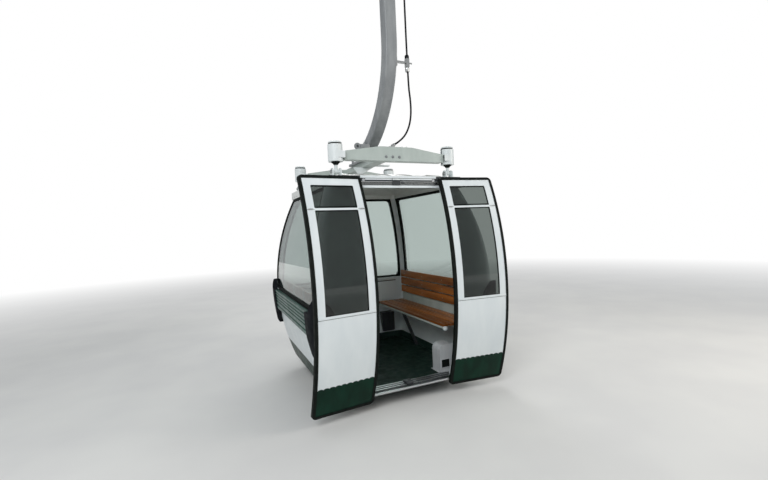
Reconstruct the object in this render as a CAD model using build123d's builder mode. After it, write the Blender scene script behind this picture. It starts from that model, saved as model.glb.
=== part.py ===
from build123d import *
import math
import os

os.makedirs("parts", exist_ok=True)

# Cable car cabin with its hanger and rope grip, in millimetres, +Z up.
# The origin is the rope's centre in the grip. X runs along the rope and
# the doorway faces -Y. Heights are counted from the cabin floor, and
# level() turns a height into Z.

# Place of the rope above the cabin floor
ROPE_HEIGHT = 4400
ROPE_RADIUS = 25

# Body shell: narrower at the roof and the floor than at the waist
HALF_LENGTH = 920
HALF_WIDTH = 1000
WAIST_HEIGHT = 885
END_RADIUS = 2600
SIDE_RADIUS = 2450
WALL = 40
CORNER_RADIUS = 95
SKIRT_TOP = 205
BODY_TOP = 1905
PAN_DEPTH = 90
PAN_TUCK = 100
MAT_THICKNESS = 12

# Posts, windows and doorway
POST_WIDTH = 85
SEAL_WIDTH = 24
SEAL_CORNER = 60
PANE_THICKNESS = 10
PANE_SET_IN = 8
END_WINDOW_LOW = 825
BACK_WINDOW_LOW = 815
DOORWAY_WIDTH = 940

# Roof
ROOF_OVERHANG = 14
ROOF_RIM = 80
ROOF_RISE = 105
ROOF_SKIN = 40
RIB_HEIGHT = 9
RIB_WIDTH = 60
RIB_PITCH = 250
RIB_COUNT = 5

# Door leaves, shown open beside the doorway
LEAF_OVERLAP = 32
LEAF_WIDTH = 530
LEAF_LOW = -43
LEAF_HIGH = 1957
LEAF_THICKNESS = 28
LEAF_STANDOFF = 54
LEAF_SPLAY = 6
LEAF_AXIS_INSET = 110
LEAF_STILE = 67
LEAF_LEDGE = 800
LEAF_TOP_RAIL = 62
LEAF_GLASS = 8
LEAF_WINDOW_CORNER = 10
MULLION_HEIGHT = 1685
MULLION_BAR = 18
RUBBER_WIDTH = 28
RUBBER_PROUD = 3
RUBBER_CORNER = 40
KICK_HEIGHT = 195
SCALLOP_COUNT = 10
SCALLOP_RISE = 14

# Arms that carry the leaves
LEAF_ARM_X = 65
LEAF_ARM_WIDTH = 70
LEAF_ARM_REACH = 90
UPPER_ARM_HALF = 22
LOWER_ARM_HEIGHT = -32
LOWER_ARM_HALF = 18

# Door header, sill and guides
HEADER_LOW = 1885
HEADER_HIGH = 1998
HEADER_PLATE = 4
HEADER_DEPTH = 14
HEADER_INSET = 25
HEADER_END_GAP = 8
HEADER_RAIL = 22
SILL_DEPTH = 95
SILL_RAIL = 14
SILL_HEIGHT = 8
SILL_PLATE = 4
ROD_RADIUS = 6
ROD_STANDOFF = 12
DRIVE_BOX_LENGTH = 80
DRIVE_BOX_DEPTH = 16

# Benches
SEAT_TOP = 500
SEAT_FRONT_X = 440
SLAT_COUNT = 5
SLAT_GAP = 12
SLAT_THICKNESS = 22
SLAT_CORNER = 6
BACK_LOW = 610
BACK_SLAT_WIDTH = 88
BACK_SLAT_GAP = 18
BACK_SLAT_COUNT = 3
FRAME_TUBE = 15
BENCH_BAR = 30
BAR_DEPTH = 14
BENCH_WALL_GAP = 3
BENCH_DOOR_GAP = 150
BENCH_BACK_GAP = 42
STRUT_DEPTH = 34
PANEL_THICKNESS = 4

# Hood over the door drive and the locker on the back wall
HOOD_BEHIND = 65
HOOD_WIDTH = 190
HOOD_HEIGHT = 280
HOOD_DEPTH = 150
HOOD_CORNER = 60
HOOD_SETBACK = 10
LOCKER_X = 545
LOCKER_WIDTH = 180
LOCKER_LOW = 90
LOCKER_HIGH = 350
LOCKER_DEPTH = 60
LOCKER_CORNER = 15

# Bumpers
BUMPER_LOW = 592
BUMPER_HIGH = 815
BUMPER_DEPTH = 48
BUMPER_CAP_LENGTH = 190
CAP_LOW = 385
CAP_HIGH = 930
CAP_WIDEST = 690
CAP_LENGTH = 165
CAP_END_DEPTH = 60
CAP_SIDE_DEPTH = 18
CAP_TIP = 20
CAP_LOBE = 135
CAP_LOBE_HIGH = 835
CAP_SHOULDER = 40

# Roof suspension
BEAM_INSET = 76
BEAM_END_GAP = 74
BEAM_CORNER = 12
BEAM_LOW = 2147
BEAM_END_HIGH = 2227
BEAM_MID_HIGH = 2282
BEAM_MID_HALF = 170
BEAM_WIDTH = 90
DAMPER_INSET = 124
DAMPER_RADIUS = 68
DAMPER_LOW = 2130
DAMPER_HIGH = 2285
DAMPER_ROD = 16
DAMPER_NECK = 60
CLEVIS_TOP = 2075
CLEVIS_PLATE = 12
CLEVIS_GAP = 64
CLEVIS_WIDTH = 68
EYE_WIDTH = 34
CARRIER_WIDTH = 130
CARRIER_LOW = 2205
CARRIER_HIGH = 2262

# Hanger
ARM_WIDTH = 120
ARM_DEPTH = 125
ARM_INSET = 15
ARM_CORNER = 14
ARM_HEAD_RUN = 15
ARM_LOWER_RADIUS = 980
ARM_LOWER_TURN = 70
ARM_LOWER_START = 3330
ARM_FOOT_RUN = 340
FOOT_PLATE = 20
FOOT_CHEEK = 14
FOOT_HEEL = 100
FOOT_TOE = 40
FOOT_HEEL_RISE = 180
FOOT_TOE_RISE = 50
FOOT_MARGIN = 30
FOOT_CORNER = 12
AXLE_RADIUS = 32
AXLE_Z = -45
AXLE_END_Y = -303
HUB_RADIUS = 78
HUB_INNER_Y = -195
HUB_OUTER_Y = -325
HUB_CHAMFER = 8
AXLE_END_GAP = 2
RUNNING_CLEARANCE = 0.05

# Control cable beside the arm
CABLE_RADIUS = 9
CABLE_X = 188
CABLE_TOP = 3810
CLAMP_LOW = 3085
CLAMP_HEIGHT = 85
CLAMP_BLOCK = 36
CLAMP_CORNER = 5
CLAMP_BAR = 12
SOCKET_RADIUS = 15
SOCKET_LENGTH = 34
SOCKET_BASE = 60

# Grip: body, moving jaw with its lever, spring and rollers
JAW_FIT = 0.1
GRIP_HALF_LENGTH = 125
GRIP_CHEEK = 33
MOVING_GAP = 6
GRIP_TOP = 150
GRIP_LOW = -70
GRIP_INNER_Y = 100
GRIP_OUTER_Y = -185
GRIP_LEG = 30
GRIP_ARCH = 50
AXLE_BOSS = 58
FIXED_JAW_Y = -4
FIXED_JAW_LOW = -12
JAW_TIP_Y = 20
JAW_LOW = -62
JAW_OUTER_Y = -105
JAW_OPENING = 10
PIVOT_Y = -75
PIVOT_Z = 70
PIVOT_RADIUS = 14
PIVOT_BOSS = 24
PIN_HEAD = 6
LEVER_HALF_WIDTH = 25
LEVER_HALF_DEPTH = 18
LEVER_TOP = 340
SPRING_Z = 265
SPRING_RADIUS = 45
SPRING_START = 56
SPRING_END = 215
SPRING_RING = 12
SPRING_CHAMFER = 5
PLUNGER_RADIUS = 18
PLUNGER_DOME = 25
PLUNGER_LENGTH = 150
DOME_GAP = 0.3
RUNNING_ROLLER_X = 215
RUNNING_ROLLER_Z = 95
GUIDE_ROLLER_Z = 112
ROLLER_GAP = 5
ROLLER_PIN = 15
ROLLER_HEAD = 24
ROLLER_CHAMFER = 4
RUNNING_ROLLER_RADIUS = 75
RUNNING_ROLLER_WIDTH = 50
GUIDE_ROLLER_RADIUS = 55
GUIDE_ROLLER_WIDTH = 40
CARRIAGE_HALF_LENGTH = 255
CARRIAGE_HEIGHT = 70
CARRIAGE_DEPTH = 18
CARRIAGE_CORNER = 20
LEVER_ROLLER_RADIUS = 40
LEVER_ROLLER_WIDTH = 30
PLATE_Y = -22
PLATE_WIDTH = 76
PLATE_LOW = 185
PLATE_THICKNESS = 15
PLATE_CORNER = 15
PLATE_HALF_LENGTH = 260
PLATE_POST = 40
PLATE_POST_X = 95
NOSE_LENGTH = 60
NOSE_ROOT = 42
NOSE_TIP = 30
SPAN = 3000


def level(height):
    """Z of a height above the cabin floor."""
    return height - ROPE_HEIGHT


def bulge(radius, height):
    """How far an arc of this radius has drawn in at a height."""
    return radius - math.sqrt(radius**2 - (height - WAIST_HEIGHT) ** 2)


def end_reach(height, inset=0):
    """Half length of the body at a height, drawn in by an inset."""
    return HALF_LENGTH - inset - bulge(END_RADIUS - inset, height)


def side_reach(height, inset=0):
    """Half width of the body at a height, drawn in by an inset."""
    return HALF_WIDTH - inset - bulge(SIDE_RADIUS - inset, height)


def bulged_face(plane, reach, inset, low, high, corner=0):
    """Face between two heights whose left and right edges follow the body."""
    middle = (low + high) / 2
    with BuildSketch(plane) as face:
        with BuildLine():
            right = ThreePointArc(
                (reach(low, inset), level(low)),
                (reach(middle, inset), level(middle)),
                (reach(high, inset), level(high)),
            )
            left = ThreePointArc(
                (-reach(low, inset), level(low)),
                (-reach(middle, inset), level(middle)),
                (-reach(high, inset), level(high)),
            )
            Line(right @ 0, left @ 0)
            Line(right @ 1, left @ 1)
        make_face()
        if corner:
            fillet(face.vertices(), corner)
    return face.sketch


def body_solid(inset, low, high, side_inset=None):
    """Solid with the body's curved sides and ends between two heights."""
    if side_inset is None:
        side_inset = inset
    with BuildPart() as body:
        extrude(bulged_face(Plane.XZ, end_reach, inset, low, high), amount=SPAN, both=True)
        extrude(
            bulged_face(Plane.YZ, side_reach, side_inset, low, high),
            amount=SPAN,
            both=True,
            mode=Mode.INTERSECT,
        )
        upright = body.edges().filter_by(lambda edge: edge.bounding_box().size.Z > (high - low) * 0.9)
        fillet(upright, CORNER_RADIUS - side_inset)
    return body.part


def finish(part, name):
    """Label a piece and write it."""
    part.label = name
    export_step(part, f"parts/{name}.step")


# Body shell
inner = body_solid(WALL, -MAT_THICKNESS, BODY_TOP + WALL)
outer = body_solid(0, SKIRT_TOP, BODY_TOP)
with BuildPart() as wall:
    add(outer)
    add(inner, mode=Mode.SUBTRACT)

with BuildPart() as skirt:
    add(body_solid(0, 0, SKIRT_TOP))
    with BuildSketch(Plane.XY.offset(level(0))):
        RectangleRounded(2 * end_reach(0), 2 * side_reach(0), CORNER_RADIUS)
    extrude(amount=-PAN_DEPTH, taper=math.degrees(math.atan2(PAN_TUCK, PAN_DEPTH)))
    add(inner, mode=Mode.SUBTRACT)
    with BuildSketch(Plane.XZ):
        with Locations((0, level(SKIRT_TOP / 2))):
            Rectangle(DOORWAY_WIDTH, SKIRT_TOP)
    extrude(amount=SPAN, mode=Mode.SUBTRACT)
finish(skirt.part, "skirt")

with BuildPart() as floor_mat:
    add(inner)
    with BuildSketch(Plane.XY.offset(level(-MAT_THICKNESS))):
        Rectangle(SPAN, SPAN)
    extrude(amount=MAT_THICKNESS, mode=Mode.INTERSECT)
finish(floor_mat.part, "floor_mat")

with BuildPart() as corner_posts:
    add(wall.part)
    extrude(
        bulged_face(Plane.YZ, side_reach, POST_WIDTH, SKIRT_TOP, BODY_TOP),
        amount=SPAN,
        both=True,
        mode=Mode.SUBTRACT,
    )
    extrude(
        bulged_face(Plane.XZ, end_reach, POST_WIDTH, SKIRT_TOP, BODY_TOP),
        amount=SPAN,
        both=True,
        mode=Mode.SUBTRACT,
    )
finish(corner_posts.part, "corner_posts")

for name, toward in (("front", SPAN), ("rear", -SPAN)):
    with BuildPart() as end_panel:
        add(wall.part)
        extrude(
            bulged_face(Plane.YZ, side_reach, POST_WIDTH, SKIRT_TOP, END_WINDOW_LOW),
            amount=toward,
            mode=Mode.INTERSECT,
        )
    finish(end_panel.part, f"end_panel_{name}")

with BuildPart() as back_panel:
    add(wall.part)
    extrude(
        bulged_face(Plane.XZ, end_reach, POST_WIDTH, SKIRT_TOP, BACK_WINDOW_LOW),
        amount=-SPAN,
        mode=Mode.INTERSECT,
    )
finish(back_panel.part, "back_panel")

with BuildPart() as door_jambs:
    add(wall.part)
    extrude(
        bulged_face(Plane.XZ, end_reach, POST_WIDTH, SKIRT_TOP, BODY_TOP),
        amount=SPAN,
        mode=Mode.INTERSECT,
    )
    with BuildSketch(Plane.XZ):
        with Locations((0, level(BODY_TOP / 2))):
            Rectangle(DOORWAY_WIDTH, 2 * BODY_TOP)
    extrude(amount=SPAN, mode=Mode.SUBTRACT)
finish(door_jambs.part, "door_jambs")

# Windows: plane, reach, direction and sill height of each
WINDOWS = {
    "front": (Plane.YZ, side_reach, SPAN, END_WINDOW_LOW),
    "rear": (Plane.YZ, side_reach, -SPAN, END_WINDOW_LOW),
    "back": (Plane.XZ, end_reach, -SPAN, BACK_WINDOW_LOW),
}
with BuildPart() as pane_skin:
    add(body_solid(PANE_SET_IN, SKIRT_TOP, BODY_TOP))
    add(body_solid(PANE_SET_IN + PANE_THICKNESS, SKIRT_TOP - WALL, BODY_TOP + WALL), mode=Mode.SUBTRACT)

with BuildPart() as window_seals:
    for name, (plane, reach, toward, sill) in WINDOWS.items():
        glass_outline = bulged_face(
            plane, reach, POST_WIDTH + SEAL_WIDTH, sill + SEAL_WIDTH, BODY_TOP - SEAL_WIDTH, SEAL_CORNER
        )
        with BuildPart(mode=Mode.PRIVATE) as seal:
            add(wall.part)
            extrude(
                bulged_face(plane, reach, POST_WIDTH, sill, BODY_TOP), amount=toward, mode=Mode.INTERSECT
            )
            extrude(glass_outline, amount=toward, mode=Mode.SUBTRACT)
        add(seal.part)
        with BuildPart(mode=Mode.PRIVATE) as pane:
            add(pane_skin.part)
            extrude(glass_outline, amount=toward, mode=Mode.INTERSECT)
        finish(pane.part, f"window_pane_{name}")
finish(window_seals.part, "window_seals")

# Roof: a domed skin with an upright rim and raised ribs
ROOF_HALF_LENGTH = end_reach(BODY_TOP) + ROOF_OVERHANG
ROOF_HALF_WIDTH = side_reach(BODY_TOP) + ROOF_OVERHANG
ROOF_EDGE = BODY_TOP + ROOF_RIM


def domed_face(plane, half, lift):
    """Upright face, wider than the roof, with the roof's arched top raised by a lift."""
    radius = (half**2 + ROOF_RISE**2) / (2 * ROOF_RISE)
    reach = half + CORNER_RADIUS
    crown = ROOF_EDGE + ROOF_RISE + lift
    shoulder = crown - radius + math.sqrt(radius**2 - reach**2)
    with BuildSketch(plane) as face:
        with BuildLine():
            top = ThreePointArc((-reach, level(shoulder)), (0, level(crown)), (reach, level(shoulder)))
            Polyline(top @ 0, (-reach, level(BODY_TOP)), (reach, level(BODY_TOP)), top @ 1)
        make_face()
    return face.sketch


def domed_solid(lift):
    """Solid roof shape with its dome raised by a lift."""
    with BuildPart() as dome:
        extrude(domed_face(Plane.XZ, ROOF_HALF_LENGTH, lift), amount=SPAN, both=True)
        extrude(
            domed_face(Plane.YZ, ROOF_HALF_WIDTH, lift), amount=SPAN, both=True, mode=Mode.INTERSECT
        )
    return dome.part


with BuildPart() as roof_cavity:
    add(domed_solid(-ROOF_SKIN))
    with BuildSketch(Plane.XY.offset(level(BODY_TOP))):
        RectangleRounded(
            2 * (ROOF_HALF_LENGTH - ROOF_OVERHANG - WALL),
            2 * (ROOF_HALF_WIDTH - ROOF_OVERHANG - WALL),
            CORNER_RADIUS - WALL,
        )
    extrude(amount=SPAN, mode=Mode.INTERSECT)

with BuildPart() as roof:
    add(domed_solid(RIB_HEIGHT))
    with BuildSketch(Plane.XY.offset(level(BODY_TOP))):
        with GridLocations(RIB_PITCH, 0, RIB_COUNT, 1):
            Rectangle(RIB_WIDTH, 2 * ROOF_HALF_WIDTH - 2 * CORNER_RADIUS)
    extrude(amount=SPAN, mode=Mode.INTERSECT)
    add(domed_solid(0))
    with BuildSketch(Plane.XY.offset(level(BODY_TOP))):
        RectangleRounded(2 * ROOF_HALF_LENGTH, 2 * ROOF_HALF_WIDTH, CORNER_RADIUS)
    extrude(amount=SPAN, mode=Mode.INTERSECT)
    add(roof_cavity.part, mode=Mode.SUBTRACT)
finish(roof.part, "roof")

# Door leaves: the right one is drawn on planes turned by the splay, and
# the left one is its mirror image
LEAF_INNER_X = DOORWAY_WIDTH / 2 - LEAF_OVERLAP
LEAF_AXIS_Y = LEAF_AXIS_INSET - HALF_WIDTH
splay = math.radians(LEAF_SPLAY)
along = Vector(math.cos(splay), -math.sin(splay), 0)
outward = Vector(-math.sin(splay), -math.cos(splay), 0)
leaf_origin = Vector(LEAF_INNER_X, LEAF_AXIS_Y, 0)
leaf_section = Plane(origin=leaf_origin, x_dir=outward, z_dir=-along)
leaf_front = Plane(origin=leaf_origin, x_dir=along, z_dir=outward)
LEAF_OUTSET = LEAF_STANDOFF + LEAF_THICKNESS


def leaf_solid(outset, thickness, margin):
    """Curved sheet of a leaf: outer face at an outset from the body, grown by a margin."""
    low, high = LEAF_LOW - margin, LEAF_HIGH + margin
    with BuildPart() as sheet:
        with BuildSketch(leaf_section.offset(margin)):
            with BuildLine():
                sides = []
                for depth in (outset, outset - thickness):
                    points = [
                        (side_reach(height, -depth) + LEAF_AXIS_Y, level(height))
                        for height in (low, WAIST_HEIGHT, high)
                    ]
                    sides.append(ThreePointArc(*points))
                Line(sides[0] @ 0, sides[1] @ 0)
                Line(sides[0] @ 1, sides[1] @ 1)
            make_face()
        extrude(amount=-(LEAF_WIDTH + 2 * margin))
    return sheet.part


def leaf_outline(margin, low, high, corner):
    """Rounded outline on the leaf's front, shrunk or grown by a margin."""
    with BuildSketch(leaf_front) as outline:
        with Locations((LEAF_WIDTH / 2, level((low + high) / 2))):
            if corner:
                RectangleRounded(LEAF_WIDTH + 2 * margin, high - low, corner)
            else:
                Rectangle(LEAF_WIDTH + 2 * margin, high - low)
    return outline.sketch


leaf_sheet = leaf_solid(LEAF_OUTSET, LEAF_THICKNESS, 0)
with BuildSketch(leaf_front) as kick_outline:
    with Locations((LEAF_WIDTH / 2, level((LEAF_LOW + KICK_HEIGHT) / 2) - SCALLOP_RISE)):
        Rectangle(LEAF_WIDTH, KICK_HEIGHT - LEAF_LOW + 2 * SCALLOP_RISE)
    scallop_pitch = LEAF_WIDTH / SCALLOP_COUNT
    with Locations((LEAF_WIDTH / 2, level(KICK_HEIGHT))):
        with GridLocations(scallop_pitch, 0, SCALLOP_COUNT, 1):
            Ellipse(scallop_pitch / 2, SCALLOP_RISE)

with BuildPart() as leaf_panel:
    add(leaf_sheet)
    for low, high in (
        (LEAF_LEDGE, MULLION_HEIGHT - MULLION_BAR / 2),
        (MULLION_HEIGHT + MULLION_BAR / 2, LEAF_HIGH - LEAF_TOP_RAIL),
    ):
        extrude(leaf_outline(-LEAF_STILE, low, high, LEAF_WINDOW_CORNER), amount=SPAN, both=True, mode=Mode.SUBTRACT)
    extrude(kick_outline.sketch, amount=SPAN, both=True, mode=Mode.SUBTRACT)

with BuildPart() as leaf_kick:
    add(leaf_sheet)
    extrude(kick_outline.sketch, amount=SPAN, both=True, mode=Mode.INTERSECT)

with BuildPart() as leaf_rubber:
    add(leaf_solid(LEAF_OUTSET + RUBBER_PROUD, LEAF_THICKNESS + 2 * RUBBER_PROUD, 2 * RUBBER_WIDTH))
    extrude(
        leaf_outline(RUBBER_WIDTH, LEAF_LOW - RUBBER_WIDTH, LEAF_HIGH + RUBBER_WIDTH, RUBBER_CORNER),
        amount=SPAN,
        both=True,
        mode=Mode.INTERSECT,
    )
    extrude(leaf_outline(0, LEAF_LOW, LEAF_HIGH, 0), amount=SPAN, both=True, mode=Mode.SUBTRACT)

with BuildPart() as leaf_glass:
    add(leaf_solid(LEAF_OUTSET - PANE_SET_IN, LEAF_GLASS, 0))
    with BuildSketch(leaf_front):
        for low, high in (
            (LEAF_LEDGE, MULLION_HEIGHT - MULLION_BAR / 2),
            (MULLION_HEIGHT + MULLION_BAR / 2, LEAF_HIGH - LEAF_TOP_RAIL),
        ):
            with Locations((LEAF_WIDTH / 2, level((low + high) / 2))):
                RectangleRounded(LEAF_WIDTH - 2 * LEAF_STILE, high - low, LEAF_WINDOW_CORNER)
    extrude(amount=SPAN, both=True, mode=Mode.INTERSECT)

# Header over the doorway, sill and the guides between them
HEADER_BACK = ROOF_HALF_WIDTH
with BuildPart() as door_header:
    with BuildSketch(Plane.YZ):
        with Locations((-HEADER_BACK - HEADER_PLATE / 2, level((HEADER_LOW + HEADER_HIGH) / 2))):
            Rectangle(HEADER_PLATE, HEADER_HIGH - HEADER_LOW)
        with Locations((-HEADER_BACK - HEADER_DEPTH / 2, level(HEADER_LOW + HEADER_RAIL / 2))):
            Rectangle(HEADER_DEPTH, HEADER_RAIL)
    extrude(amount=ROOF_HALF_LENGTH - HEADER_INSET, both=True)
    with BuildSketch(Plane.YZ):
        with Locations((-HEADER_BACK - HEADER_DEPTH / 2, level(HEADER_HIGH - HEADER_RAIL / 2))):
            Rectangle(HEADER_DEPTH, HEADER_RAIL)
    extrude(amount=LEAF_INNER_X - RUBBER_WIDTH - HEADER_END_GAP, both=True)
finish(door_header.part, "door_header")

SILL_BACK = side_reach(0) - SILL_DEPTH
with BuildPart() as door_sill:
    with BuildSketch(Plane.YZ):
        with Locations((-(side_reach(0) + SILL_BACK) / 2, level(SILL_PLATE / 2))):
            Rectangle(SILL_DEPTH, SILL_PLATE)
        for place in (0, 0.5, 1):
            across = SILL_BACK + SILL_RAIL / 2 + place * (SILL_DEPTH - SILL_RAIL)
            with Locations((-across, level(SILL_HEIGHT / 2))):
                Rectangle(SILL_RAIL, SILL_HEIGHT)
    extrude(amount=DOORWAY_WIDTH / 2, both=True)
finish(door_sill.part, "door_sill")

# Arms of a leaf: height, half height and the Y where each meets the body
LEAF_ARMS = (
    ((HEADER_LOW + HEADER_HIGH) / 2, UPPER_ARM_HALF, ROOF_OVERHANG - ROOF_HALF_WIDTH),
    (LOWER_ARM_HEIGHT, LOWER_ARM_HALF, PAN_TUCK - side_reach(0)),
)
with BuildPart() as leaf_arms:
    for height, half, root in LEAF_ARMS:
        tip = -side_reach(height) - LEAF_ARM_REACH
        with BuildSketch(Plane.XY.offset(level(height - half))):
            with Locations((LEAF_INNER_X + LEAF_ARM_X + LEAF_ARM_WIDTH / 2, (root + tip) / 2)):
                Rectangle(LEAF_ARM_WIDTH, root - tip)
        extrude(amount=2 * half)
    add(leaf_solid(LEAF_OUTSET + WALL, LEAF_THICKNESS + WALL, RUBBER_WIDTH), mode=Mode.SUBTRACT)
    add(roof.part, mode=Mode.SUBTRACT)
    add(door_header.part, mode=Mode.SUBTRACT)
    add(skirt.part, mode=Mode.SUBTRACT)
    add(leaf_rubber.part, mode=Mode.SUBTRACT)
    mirror(about=Plane.YZ)
finish(leaf_arms.part, "leaf_arms")

for piece, name in (
    (leaf_panel.part, "leaf_panel"),
    (leaf_kick.part, "leaf_kick"),
    (leaf_rubber.part, "leaf_rubber"),
    (leaf_glass.part, "leaf_glass"),
):
    finish(piece, f"{name}_right")
    finish(mirror(piece, about=Plane.YZ), f"{name}_left")

with BuildPart() as door_guides:
    with BuildSketch(Plane.XY.offset(level(HEADER_LOW + HEADER_RAIL))):
        with Locations((-DRIVE_BOX_LENGTH / 2, -HEADER_BACK - HEADER_PLATE - DRIVE_BOX_DEPTH / 2)):
            Rectangle(DRIVE_BOX_LENGTH, DRIVE_BOX_DEPTH)
    extrude(amount=HEADER_HIGH - HEADER_LOW - 2 * HEADER_RAIL)
    with BuildSketch(Plane.YZ):
        with Locations((-HEADER_BACK - ROD_STANDOFF, level((HEADER_LOW + HEADER_HIGH) / 2))):
            Circle(ROD_RADIUS)
    extrude(amount=LEAF_INNER_X + LEAF_ARM_X, both=True)
finish(door_guides.part, "door_guides")

# Benches at both ends, drawn at the front one and mirrored for the rear
BAR_LOW = SEAT_TOP - SLAT_THICKNESS - 2 * FRAME_TUBE
BAR_BACK_X = end_reach(BAR_LOW, WALL) - BENCH_WALL_GAP
BAR_FRONT_X = BAR_BACK_X - BAR_DEPTH
BACK_X = BAR_FRONT_X - SLAT_THICKNESS
BACK_HIGH = BACK_LOW + BACK_SLAT_COUNT * (BACK_SLAT_WIDTH + BACK_SLAT_GAP) - BACK_SLAT_GAP
BENCH_DOOR_END = BENCH_DOOR_GAP - side_reach(BAR_LOW, WALL)
BENCH_BACK_END = side_reach(BAR_LOW, WALL) - BENCH_BACK_GAP
BENCH_LENGTH = BENCH_BACK_END - BENCH_DOOR_END
BENCH_MIDDLE = (BENCH_BACK_END + BENCH_DOOR_END) / 2
SLAT_PITCH = (BAR_FRONT_X - PANEL_THICKNESS - SEAT_FRONT_X) / SLAT_COUNT
with BuildPart() as bench_slats:
    for index in range(SLAT_COUNT):
        start = SEAT_FRONT_X + index * SLAT_PITCH
        with BuildSketch(Plane.XY.offset(level(SEAT_TOP - SLAT_THICKNESS))):
            with Locations((start + (SLAT_PITCH - SLAT_GAP) / 2, BENCH_MIDDLE)):
                RectangleRounded(SLAT_PITCH - SLAT_GAP, BENCH_LENGTH, SLAT_CORNER)
        extrude(amount=SLAT_THICKNESS)
    for index in range(BACK_SLAT_COUNT):
        low = BACK_LOW + index * (BACK_SLAT_WIDTH + BACK_SLAT_GAP)
        with BuildSketch(Plane.YZ.offset(BACK_X)):
            with Locations((BENCH_MIDDLE, level(low + BACK_SLAT_WIDTH / 2))):
                RectangleRounded(BENCH_LENGTH, BACK_SLAT_WIDTH, SLAT_CORNER)
        extrude(amount=SLAT_THICKNESS)

with BuildPart() as bench_panels:
    with BuildSketch(Plane.YZ.offset(BAR_FRONT_X - PANEL_THICKNESS)):
        with Locations((BENCH_MIDDLE, level((SEAT_TOP - SLAT_THICKNESS + BACK_LOW - SLAT_GAP) / 2))):
            Rectangle(BENCH_LENGTH, BACK_LOW - SLAT_GAP - SEAT_TOP + SLAT_THICKNESS)
    extrude(amount=PANEL_THICKNESS)
    mirror(about=Plane.YZ)
finish(bench_panels.part, "bench_panels")

# Bars of a bench stand at these shares of its length, and one has a strut
STRUT_SHARE = 0.64
BENCH_BARS = (0.06, 0.35, STRUT_SHARE, 0.93)
TUBE_X = SEAT_FRONT_X + FRAME_TUBE
BAR_HIGH = SEAT_TOP - SLAT_THICKNESS
STRUT_FOOT_X = end_reach(0, WALL) - STRUT_DEPTH - SLAT_GAP
with BuildPart() as bench_frame:
    with BuildSketch(Plane.XZ.offset(-BENCH_BACK_END)):
        with Locations((TUBE_X, level(BAR_HIGH - FRAME_TUBE))):
            Circle(FRAME_TUBE)
    extrude(amount=BENCH_LENGTH)
    for share in BENCH_BARS:
        with BuildSketch(Plane.XZ.offset(-BENCH_DOOR_END - share * BENCH_LENGTH)):
            with BuildLine():
                Polyline(
                    (TUBE_X, level(BAR_HIGH)),
                    (BAR_FRONT_X, level(BAR_HIGH)),
                    (BAR_FRONT_X, level(BACK_HIGH)),
                    (BAR_BACK_X, level(BACK_HIGH)),
                    (BAR_BACK_X, level(BAR_LOW)),
                    (TUBE_X, level(BAR_LOW)),
                    close=True,
                )
            make_face()
        extrude(amount=BENCH_BAR / 2, both=True)
    with BuildSketch(Plane.XZ.offset(-BENCH_DOOR_END - STRUT_SHARE * BENCH_LENGTH)):
        with BuildLine():
            Polyline(
                (TUBE_X + STRUT_DEPTH, level(BAR_HIGH - FRAME_TUBE)),
                (TUBE_X + 2 * STRUT_DEPTH, level(BAR_HIGH - FRAME_TUBE)),
                (STRUT_FOOT_X + STRUT_DEPTH, level(0)),
                (STRUT_FOOT_X, level(0)),
                close=True,
            )
        make_face()
    extrude(amount=BENCH_BAR / 2, both=True)

for piece, name in (
    (bench_slats.part, "bench_slats"),
    (bench_frame.part, "bench_frame"),
):
    finish(piece, f"{name}_front")
    finish(mirror(piece, about=Plane.YZ), f"{name}_rear")

with BuildPart() as mechanism_hood:
    with BuildSketch(Plane.XZ.offset(SILL_BACK - HOOD_SETBACK - HOOD_DEPTH)):
        with Locations((SEAT_FRONT_X + HOOD_BEHIND, level(HOOD_HEIGHT / 2))):
            RectangleRounded(HOOD_WIDTH, HOOD_HEIGHT, HOOD_CORNER)
        with Locations((SEAT_FRONT_X + HOOD_BEHIND, level(HOOD_CORNER / 2))):
            Rectangle(HOOD_WIDTH, HOOD_CORNER)
    extrude(amount=HOOD_DEPTH)
finish(mechanism_hood.part, "mechanism_hood")

LOCKER_MIDDLE = (LOCKER_LOW + LOCKER_HIGH) / 2
with BuildPart() as back_locker:
    add(inner)
    with BuildSketch(Plane.XZ.offset(LOCKER_DEPTH - side_reach(LOCKER_MIDDLE, WALL))):
        with Locations((LOCKER_X, level(LOCKER_MIDDLE))):
            RectangleRounded(LOCKER_WIDTH, LOCKER_HIGH - LOCKER_LOW, LOCKER_CORNER)
    extrude(amount=-SPAN, mode=Mode.INTERSECT)
finish(back_locker.part, "back_locker")

# Bumpers across both ends, with rubber caps round the corners
BUMPER_HALF = side_reach(BUMPER_LOW) - BUMPER_CAP_LENGTH
with BuildPart() as bumper:
    add(body_solid(-BUMPER_DEPTH, BUMPER_LOW, BUMPER_HIGH))
    add(outer, mode=Mode.SUBTRACT)
    with BuildSketch(Plane.YZ):
        with Locations((0, level((BUMPER_LOW + BUMPER_HIGH) / 2))):
            Rectangle(2 * BUMPER_HALF, SPAN)
    extrude(amount=SPAN, mode=Mode.INTERSECT)

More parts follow.
